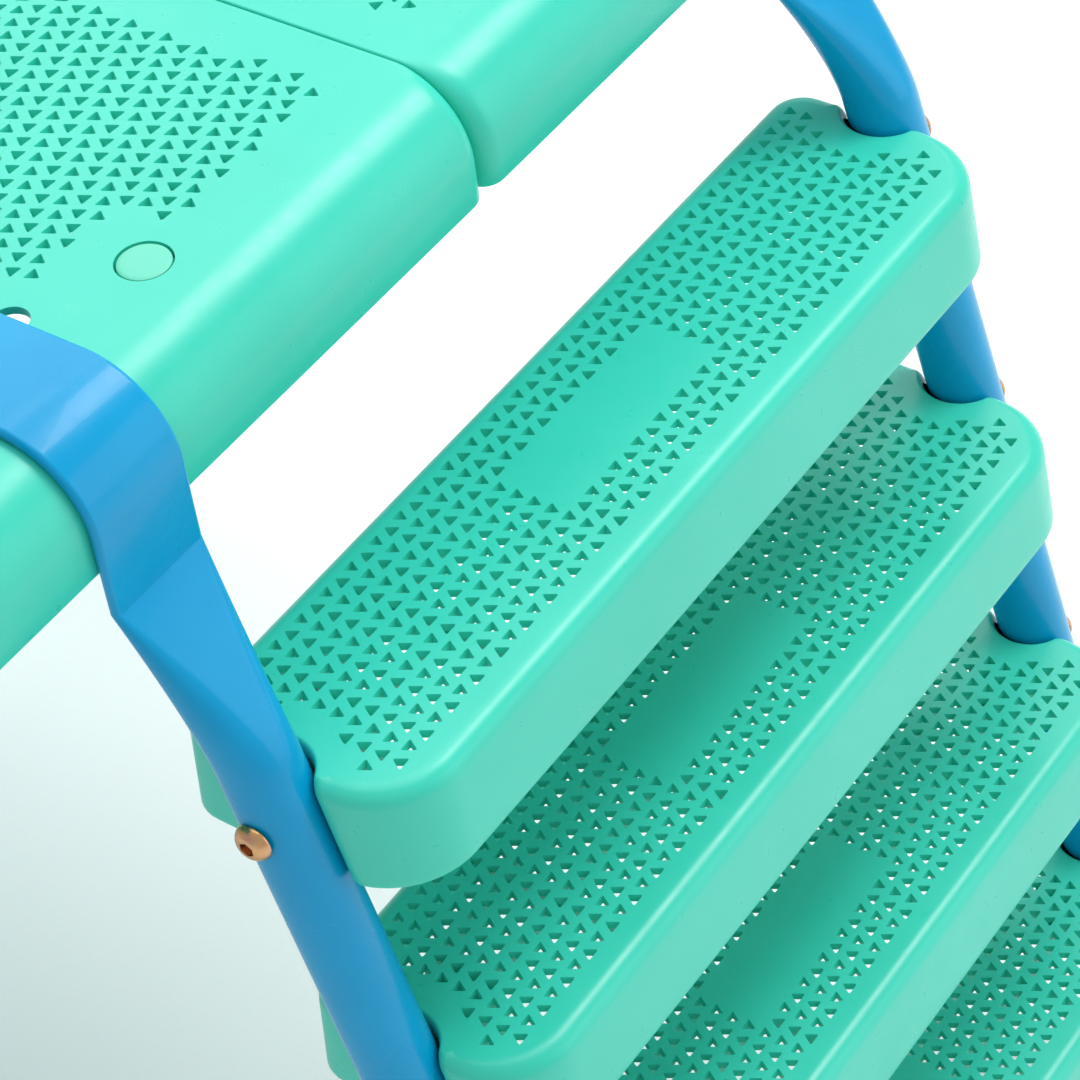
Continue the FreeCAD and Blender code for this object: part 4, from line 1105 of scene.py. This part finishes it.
# ---- Platform ------------------------------------------------------------------------------------
@dataclass
class PlatformHalf:
    """One half of the platform: a skirted shell with a wide rear rounding and slanting holes."""
    side: int
    wall: float = 3.0
    skirt: float = 44.0
    rear_radius: float = 28.0
    edge_radius: float = 12.0
    seam_edge: float = 0.8
    outer_corner: float = 28.0
    seam_corner: float = 8.0
    seam_gap: float = 0.3
    boss_radius: float = 13.0
    boss_drop: float = 8.0
    plug_well: tuple[float, float] = (9.75, 3.6)   # radius and depth
    bolt_bore: tuple[float, float] = (4.3, 30.0)
    drain_bore: tuple[float, float] = (6.5, 9.0)
    drain_inset: float = 28.0        # from the hook's middle, and from the rear face
    drain_rear: float = 60.3
    pitch: float = 6.98
    row_pitch: float = 7.2
    reach: int = 90                  # holes and rows that are tried each way from the anchor
    row_angle: float = 64.2          # from the treads' direction round to the rows of holes
    anchor: tuple[float, float] = (83.6, 49.9)     # one hole: from the seam and from the rear face
    seam_margin: float = 22.0        # plain strips that the holes stay out of
    side_margin: float = 30.0
    rear_margin: float = 45.5
    flange_margin: float = 12.0
    rear_field: tuple[float, float] = (100.0, 66.5)    # past this x the rear strip is this wide
    hook_margin: tuple[float, float] = (42.0, 12.0)
    fitting_margin: float = 19.0

    def __post_init__(self) -> None:
        """Takes the half's place from the frame."""
        name = "platform_left" if self.side < 0 else "platform_right"
        low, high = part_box(name)
        self.node = name
        self.top = high.z / MM
        self.rear = low.y / MM
        self.depth = (high.y - low.y) / MM
        self.width = max(abs(low.x), abs(high.x)) / MM
        self.plugs = [(abs((a.x + b.x) / 2), (a.y + b.y) / 2 - self.rear)
                      for a, b in islands("platform_plugs") if (a.x + b.x) * self.side > 0]
        self.bolts = [(abs((a.x + b.x) / 2), (a.y + b.y) / 2 - self.rear)
                      for name in ("chute_bolts", "hook_bolts")
                      for a, b in islands(name) if (a.x + b.x) * self.side > 0]
        tube_low, tube_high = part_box("ladder_tube_left")
        self.hook_x = abs((tube_low.x + tube_high.x) / 2 / MM)
        self.hook_end = tube_high.y / MM - self.rear
        self.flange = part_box("chute")[0].y / MM - self.rear
        self.drain = (self.hook_x - self.drain_inset, self.drain_rear)

    def plan(self, rear: float, outer: float, front: float, seam: float, inset: float) -> Plan:
        """Rounded rectangle of the half, measured from the seam and from the rear face.

        Args:
            rear: how far the rear edge is drawn in.
            outer: the same for the outer side.
            front: the same for the front edge.
            seam: the same for the seam side.
            inset: how much the corners' radii shrink.

        Returns:
            Points that always have the same number and order.
        """
        x0, x1 = self.seam_gap + seam, self.width - outer
        y0, y1 = rear, self.depth - front
        small = max(self.seam_corner - inset, 0.6)
        large = max(self.outer_corner - inset - outer, 4.0)
        points: Plan = []
        for corner_x, corner_y, radius, start in ((x0, y0, small, 180), (x1, y0, large, 270),
                                                  (x1, y1, large, 0), (x0, y1, small, 90)):
            centre = (corner_x + (radius if start in (180, 90) else -radius),
                      corner_y + (radius if start in (180, 270) else -radius))
            steps = 12 if radius == large else 8
            points += arc_points(centre, radius, math.radians(start), math.radians(start + 90),
                                 steps)
            points.append((centre[0] + radius * math.cos(math.radians(start + 90)),
                           centre[1] + radius * math.sin(math.radians(start + 90))))
            following = {180: (x1 - large, y0), 270: (x1, y1 - large), 0: (x0 + small, y1),
                         90: (x0, y0 + small)}[start]
            begin = points[-1]
            points += [(begin[0] + (following[0] - begin[0]) * k / 10,
                        begin[1] + (following[1] - begin[1]) * k / 10) for k in range(1, 10)]
        return points

    def ring(self, depth: float, inner: float = 0.0, floor: float = 0.0) -> Ring:
        """Outline at a depth below the top, for the outer face or for one set in from it.

        Args:
            depth: distance below the platform's top.
            inner: how far the face lies inside the outer one.
            floor: extra room inside the flat top's outline.

        Returns:
            Points in the slide's frame.
        """
        def drawn_in(radius: float) -> float:
            """How far an edge of a radius is drawn in at this depth."""
            radius = max(radius - inner, 0.0)
            below = depth - inner
            if below >= radius:
                return inner
            return inner + radius - math.sqrt(max(radius ** 2 - (radius - below) ** 2, 0.0))

        plan = self.plan(drawn_in(self.rear_radius) + floor, drawn_in(self.edge_radius) + floor,
                         drawn_in(self.edge_radius) + floor, drawn_in(self.seam_edge) + floor,
                         inner + floor)
        return [(self.side * x, y + self.rear, self.top - depth) for x, y in plan]

    def shell(self) -> bpy.types.Object:
        """Closed shell of the half.

        Returns:
            The shell, without its bosses and holes.
        """
        rings = [self.ring(0.0, floor=1.0), self.ring(0.0)]
        rings += [self.ring(self.rear_radius * (1 - math.cos(math.radians(a))))
                  for a in (3, 6, 9, 12, 16, 20, 25, 30, 36, 42, 48, 55, 62, 69, 76, 83, 90)]
        rings += [self.ring(self.skirt - 8), self.ring(self.skirt - 1.0),
                  self.ring(self.skirt - 0.3, 0.25), self.ring(self.skirt, 0.9),
                  self.ring(self.skirt, self.wall - 0.6), self.ring(self.skirt - 0.6, self.wall)]
        inner_radius = self.rear_radius - self.wall
        rings += [self.ring(self.wall + inner_radius * (1 - math.cos(math.radians(a))), self.wall)
                  for a in (90, 75, 62, 50, 40, 30, 22, 15, 9, 4, 0)]
        return new_object(f"platform_half_{self.node[9:]}", *stack(rings))

    def ribs(self) -> bpy.types.Object:
        """Bosses under the top, each round a screw or a bolt."""
        under = self.top - self.wall - self.boss_drop
        parts = [bar((self.side * x, y + self.rear, under),
                     (self.side * x, y + self.rear, self.top - self.wall / 2), self.boss_radius, 32)
                 for x, y in self.plugs + self.bolts]
        return new_object("bosses", *joined(parts))

    def openings(self) -> bpy.types.Object:
        """Recesses of the plugs, bores of the screws and bolts, and the drain hole.

        Returns:
            The cutters.
        """
        def well(place: tuple[float, float], radius: float, depth: float, sides: int = 40) -> Skin:
            """Round cutter from above the top down to a depth."""
            x, y = self.side * place[0], place[1] + self.rear
            return bar((x, y, self.top - depth), (x, y, self.top + 5), radius, sides)

        parts = [well(place, *self.plug_well) for place in self.plugs]
        parts += [well(place, *self.bolt_bore, 24) for place in self.bolts]
        parts.append(well(self.drain, *self.drain_bore))
        return new_object("platform_openings", *joined(parts))

    def keeps(self, x: float, y: float) -> bool:
        """Says whether the flat top has a hole at a place.

        Args:
            x: distance from the seam.
            y: distance from the rear face.

        Returns:
            Whether there is a hole.
        """
        if not (self.seam_margin < x < self.width - self.side_margin
                and self.rear_margin < y < self.flange - self.flange_margin):
            return False
        if x > self.rear_field[0] and y < self.rear_field[1]:
            return False
        if abs(x - self.hook_x) < self.hook_margin[0] and y < self.hook_end + self.hook_margin[1]:
            return False
        blocked = self.plugs + self.bolts + [self.drain]
        return all(math.hypot(x - px, y - py) > self.fitting_margin for px, py in blocked)

    def hole_places(self) -> bpy.types.Object:
        """Centres of the holes, in rows that slant across the platform.

        Returns:
            One point for each hole, with its turn.
        """
        angle = math.radians(self.row_angle)
        along = Vector((math.cos(angle), math.sin(angle)))
        down = Vector((math.sin(angle), -math.cos(angle)))
        points, turns = [], []
        tried = range(-self.reach, self.reach + 1)
        for a in tried:
            for b in tried:
                place = (Vector(self.anchor) + along * (a * self.pitch)
                         + down * (b * self.row_pitch))
                if self.keeps(place.x, place.y):
                    points.append((self.side * place.x, place.y + self.rear, self.top))
                    aim = math.atan2(down.y, down.x * self.side) + math.pi / 2
                    turns.append(aim if a % 2 == 0 else aim + math.pi)
        return place_points("platform_holes", points, turns=turns)

    def build(self, shop: Workshop) -> bpy.types.Object:
        """Builds and dresses the half."""
        return shop.perforated(self.shell(), self.ribs(), self.openings(), self.hole_places(),
                               self.wall, self.node)


# ---- Ladder tubes --------------------------------------------------------------------------------
@dataclass
class LadderTube:
    """One ladder tube: round and leaning, pressed flat at its top, hooked over the platform."""
    side: int
    straight_top: float = 8.0
    flat_top: float = 66.0
    hook_width: float = 42.0
    hook_shift: float = 6.0          # the pressed band lies a little nearer the slide's middle
    hook_half: float = 2.0
    bend_radius: float = 28.0
    gap: float = 0.2
    steps: int = 20
    press: float = 1.6               # above 1 the press starts softly and ends in a crease

    def __post_init__(self) -> None:
        """Takes the tube's place from the frame."""
        self.node = "ladder_tube_left" if self.side < 0 else "ladder_tube_right"
        low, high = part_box(self.node)
        self.x = (low.x + high.x) / 2 / MM
        self.foot = low.z / MM
        self.end_y = high.y / MM
        top_tread = Tread(4)
        self.tread_top = top_tread.top
        self.tread_axis = top_tread.axis_y
        platform_low, platform_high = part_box("platform_left")
        self.face_y = platform_low.y / MM
        self.platform_top = platform_high.z / MM
        self.flat = self.hook_width / 2 - self.hook_half     # half the band's flat width

    def axis_y(self, height: float) -> float:
        """Where the tube's axis is at a height."""
        return self.tread_axis + (height - self.tread_top) * LEAN

    def section(self, y: float, z: float, along: tuple[float, float], half_flat: float,
                half_width: float, half_depth: float) -> Ring:
        """Flattened ring across the tube.

        Args:
            y: place of its middle.
            z: place of its middle.
            along: direction of the tube there, as (y, z).
            half_flat: half the length of its flat sides.
            half_width: radius of its round ends, across.
            half_depth: radius of its round ends, through.

        Returns:
            Points round the ring.
        """
        ring = []
        middle = self.x - self.side * self.hook_shift * half_flat / self.flat
        if along[0] > 0.99:
            middle = self.x - self.side * self.hook_shift
        for way, start in ((1, -90.0), (-1, 90.0)):
            for k in range(self.steps + 1):
                angle = math.radians(start + 180.0 * k / self.steps)
                x = way * half_flat + half_width * math.cos(angle)
                depth = half_depth * math.sin(angle)
                ring.append((middle + x, y + depth * along[1], z - depth * along[0]))
        return ring

    def pressed(self, thickness: float) -> float:
        """Half length of the flat sides, for half a thickness."""
        share = (TUBE_RADIUS - thickness) / (TUBE_RADIUS - self.hook_half)
        return share * self.flat

    def rings(self) -> list[Ring]:
        """All sections from the foot to the tip of the hook.

        Returns:
            The sections.
        """
        slant = math.hypot(1, LEAN)
        start = self.tread_top + self.straight_top
        end = self.tread_top + self.flat_top
        upright = (0.0, 1.0)
        rings = []
        for k in range(17):
            z = self.foot + (start - self.foot) * k / 16
            rings.append(self.section(self.axis_y(z), z, upright, 0.0, TUBE_RADIUS,
                                      TUBE_RADIUS * slant))
        inner_start = self.axis_y(start) + TUBE_RADIUS * slant
        inner_end = self.face_y - self.gap
        for k in range(1, 21):
            share = k / 20
            z = start + (end - start) * share
            thick = TUBE_RADIUS + (self.hook_half - TUBE_RADIUS) * share ** self.press
            deep = thick * (slant * (1 - share) + share)
            inner = inner_start + (inner_end - inner_start) * share
            rings.append(self.section(inner - deep, z, upright, self.pressed(thick), thick, deep))
        bend_z = self.platform_top - self.bend_radius
        middle = self.bend_radius + self.gap + self.hook_half
        band_y = self.face_y - self.gap - self.hook_half
        if bend_z - end > 2:
            rings.append(self.section(band_y, (end + bend_z) / 2, upright, self.flat,
                                      self.hook_half, self.hook_half))
        for k in range(17):
            turn = math.pi / 2 * k / 16
            rings.append(self.section(self.face_y + self.bend_radius - middle * math.cos(turn),
                                      bend_z + middle * math.sin(turn),
                                      (math.sin(turn), math.cos(turn)), self.flat,
                                      self.hook_half, self.hook_half))
        level = bend_z + middle
        tip = self.end_y - self.hook_width / 2
        level_way = (1.0, 0.0)
        rings.append(self.section(tip, level, level_way, self.flat, self.hook_half,
                                  self.hook_half))
        for k in range(1, 15):
            turn = math.pi / 2 * k / 15
            half = self.hook_width / 2 * math.cos(turn)
            ends = min(self.hook_half, half)
            rings.append(self.section(tip + self.hook_width / 2 * math.sin(turn), level, level_way,
                                      max(half - self.hook_half, 0.0), ends,
                                      self.hook_half * math.sqrt(min(1.0, half / 6))))
        return rings

    def build(self, shop: Workshop) -> bpy.types.Object:
        """Builds and dresses the tube."""
        piece = new_object(f"hooked_tube_{self.node[12:]}", *stack(self.rings()), angle=38.0)
        return shop.dress(piece, Slot.TUBE, self.node)


# ---- Screws, plugs and caps ----------------------------------------------------------------------
@dataclass
class ButtonHead:
    """Button-head bolt with a hexagon socket; it stands on z = 0 and its shank goes down."""
    radius: float = 7.0
    height: float = 4.4
    socket: float = 5.0
    socket_depth: float = 2.8
    shank: float = 3.95
    sides: int = 48
    dome: tuple[tuple[float, float], ...] = ((0.9, 0.53), (0.79, 0.75), (0.66, 0.91),
                                             (0.55, 0.985), (0.5, 1.0))

    def pattern(self, length: float) -> bpy.types.Object:
        """Builds one bolt with a shank of a length.

        Args:
            length: how far its shank reaches below z = 0.

        Returns:
            The bolt.
        """
        rings = lathe([(self.shank - 0.6, -length), (self.shank, 0.6 - length), (self.shank, 0.0),
                       (self.radius - 0.35, 0.0), (self.radius - 0.05, 0.25),
                       (self.radius, 0.7), (self.radius * 0.97, 1.3)]
                      + [(self.radius * across, self.height * up) for across, up in self.dome],
                      self.sides)
        for inset, z in ((0.0, self.height - 0.02), (-0.12, self.height - 0.35),
                         (0.0, self.height - self.socket_depth)):
            ring = []
            for k in range(self.sides):
                angle = 2 * math.pi * k / self.sides
                off = (angle + math.pi / 6) % (math.pi / 3) - math.pi / 6
                reach = (self.socket / 2 - inset * (z < self.height - 0.1)) / math.cos(off)
                ring.append((reach * math.cos(angle), reach * math.sin(angle), z))
            rings.append(ring)
        rings += lathe([(0.5, self.height - self.socket_depth - 0.9)], self.sides)
        return new_object("bolt_pattern", *stack(rings), angle=28.0)


@dataclass
class Fasteners:
    """All the bolts that show, each group where and as long as the frame gives it."""
    groups: dict[str, Vector] = field(default_factory=lambda: {
        "step_bolts": Vector((1, 0, 0)), "rail_bolts": Vector((1, 0, 0)),
        "hoop_bolts": Vector((1, 0, 0)), "brace_bolts": Vector((1, 0, 0)),
        "leg_bolts": Vector((0, 1, 0)), "chute_bolts": Vector((0, 0, 1)),
        "hook_bolts": Vector((0, 0, 1))})

    def build(self, shop: Workshop) -> None:
        """Builds and dresses every group.

        Args:
            shop: what every piece shares.
        """
        head = ButtonHead()
        for node, axis in self.groups.items():
            places, aims = [], []
            reach = 0.0
            for low, high in islands(node):
                middle = (low + high) / 2
                aim = axis if axis.x == 0 or middle.x > 0 else -axis
                crown = Vector(high[k] if aim[k] > 0 else low[k] if aim[k] < 0 else middle[k]
                               for k in range(3))
                places.append(tuple(crown - aim * head.height))
                aims.append(aim)
                reach = abs((high - low).dot(axis)) - head.height
            shop.fittings(f"button_{node}", node, Slot.PLATED, head.pattern(reach), places, aims)


@dataclass
class Plugs:
    """Round plugs that cover the platform's screws, a little proud in the middle."""
    radius: float = 9.0
    thickness: float = 3.0

    def build(self, shop: Workshop) -> bpy.types.Object:
        """Builds and dresses the plugs.

        Args:
            shop: what every piece shares.

        Returns:
            The plugs as one piece.
        """
        r, t = self.radius, self.thickness
        rings = lathe([(r - 0.4, -t), (r, 0.4 - t), (r, -0.75), (r - 0.15, -0.4), (r - 0.55, -0.2),
                       (r * 0.8, -0.1), (r * 0.5, -0.04), (r * 0.2, 0.0)], 48)
        pattern = new_object("plug_pattern", *stack(rings), angle=50.0)
        boxes = islands("platform_plugs")
        places = [((a.x + b.x) / 2, (a.y + b.y) / 2, b.z) for a, b in boxes]
        return shop.fittings("screw_plugs", "platform_plugs", Slot.PLUG, pattern, places,
                             [Vector((0, 0, 1))] * len(boxes))


# ---- Studio --------------------------------------------------------------------------------------
@dataclass
class Studio:
    """Pale floor, soft lights and the camera."""
    lens: float = 116.53
    place: Point = (-0.6958, -1.2748, 1.2832)
    right: Point = (0.56706, -0.81740, -0.10149)
    up: Point = (0.61501, 0.33822, 0.71230)
    back: Point = (-0.54791, -0.46633, 0.69450)
    lit: Point = (0.0, -0.7, 0.5)    # what the lights face: the top of the ladder
    half_floor: float = 9.0
    glow: float = 0.6                # strength of the white surroundings

    def build(self) -> None:
        """Sets up everything that isn't the slide."""
        self.floor()
        self.camera()
        world = bpy.data.worlds.new("studio")
        world.use_nodes = True
        backdrop = world.node_tree.nodes["Background"]
        backdrop.inputs["Color"].default_value = linear("ffffff")
        backdrop.inputs["Strength"].default_value = self.glow
        bpy.context.scene.world = world
        self.softbox("far_side", (0.6, 0.5, 0.62), 3.2, 2.2, 26.0)
        self.softbox("strip", (0.55, -0.15, 0.82), 2.8, 1.15, 34.0)
        self.softbox("overhead", (0.2, 0.1, 1.0), 2.8, 2.6, 34.0)
        self.softbox("ladder_side", (0.45, -0.9, 0.25), 3.0, 2.0, 14.0)
        bpy.context.scene.view_settings.view_transform = "Standard"

    def floor(self) -> None:
        """Wide pale floor."""
        mesh = bpy.data.meshes.new("floor")
        far = self.half_floor
        mesh.from_pydata([(-far, -far, 0), (far, -far, 0), (far, far, 0), (-far, far, 0)], [],
                         [(0, 1, 2, 3)])
        floor = bpy.data.objects.new("floor", mesh)
        bpy.context.scene.collection.objects.link(floor)
        mesh.materials.append(SeamlessPaper("seamless_paper_white", "fcfbfb", "fdfdfd").material())

    def camera(self) -> None:
        """Camera with a long lens, looking down on the top of the ladder."""
        data = bpy.data.cameras.new("camera")
        data.lens = self.lens
        data.sensor_width = 36.0
        camera = bpy.data.objects.new("camera", data)
        turn = Matrix((self.right, self.up, self.back)).transposed().to_4x4()
        camera.matrix_world = Matrix.Translation(Vector(self.place)) @ turn
        bpy.context.scene.collection.objects.link(camera)
        bpy.context.scene.camera = camera

    def softbox(self, name: str, way: Point, distance: float, size: float, power: float) -> None:
        """Square light that faces the top of the ladder.

        Args:
            name: the light's name.
            way: direction from the ladder's top to the light.
            distance: how far away it is, in metres.
            size: length of its sides, in metres.
            power: its power in watts.
        """
        data = bpy.data.lights.new(name, "AREA")
        data.energy = power
        data.size = size
        light = bpy.data.objects.new(name, data)
        aim = Vector(way).normalized()
        light.location = Vector(self.lit) + aim * distance
        light.rotation_euler = aim.to_track_quat("Z", "Y").to_euler()
        bpy.context.scene.collection.objects.link(light)


# ---- The whole slide -----------------------------------------------------------------------------
KEPT = {
    Slot.TUBE: ("rear_crossbar", "front_crossbar", "side_bearer_left", "side_bearer_right",
                "front_leg_left", "front_leg_right", "leg_brace", "side_rail_left",
                "side_rail_right", "chute_foot_hoop"),
    Slot.PLATED: ("step_nuts", "hook_nuts", "platform_screws", "platform_nuts", "seam_screws",
                  "seam_nuts", "bearer_bolts", "bearer_inserts", "leg_nuts", "brace_inserts",
                  "rail_inserts", "chute_nuts", "hoop_nuts"),
    Slot.RUBBER: ("ladder_feet", "front_feet", "rail_caps", "hoop_caps"),
    Slot.CHUTE: ("chute",),
}


def main() -> None:
    """Builds every sub-assembly in order."""
    logging.basicConfig(level=logging.INFO, format="%(message)s")
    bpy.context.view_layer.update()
    shop = Workshop()
    for number in range(1, 5):
        Tread(number).build(shop)
    for side in MIRROR:
        PlatformHalf(side).build(shop)
        LadderTube(side).build(shop)
    Plugs().build(shop)
    Fasteners().build(shop)
    for slot, nodes in KEPT.items():
        for node in nodes:
            shop.recoat(node, slot)
    Studio().build()


if __name__ == "__main__":
    main()
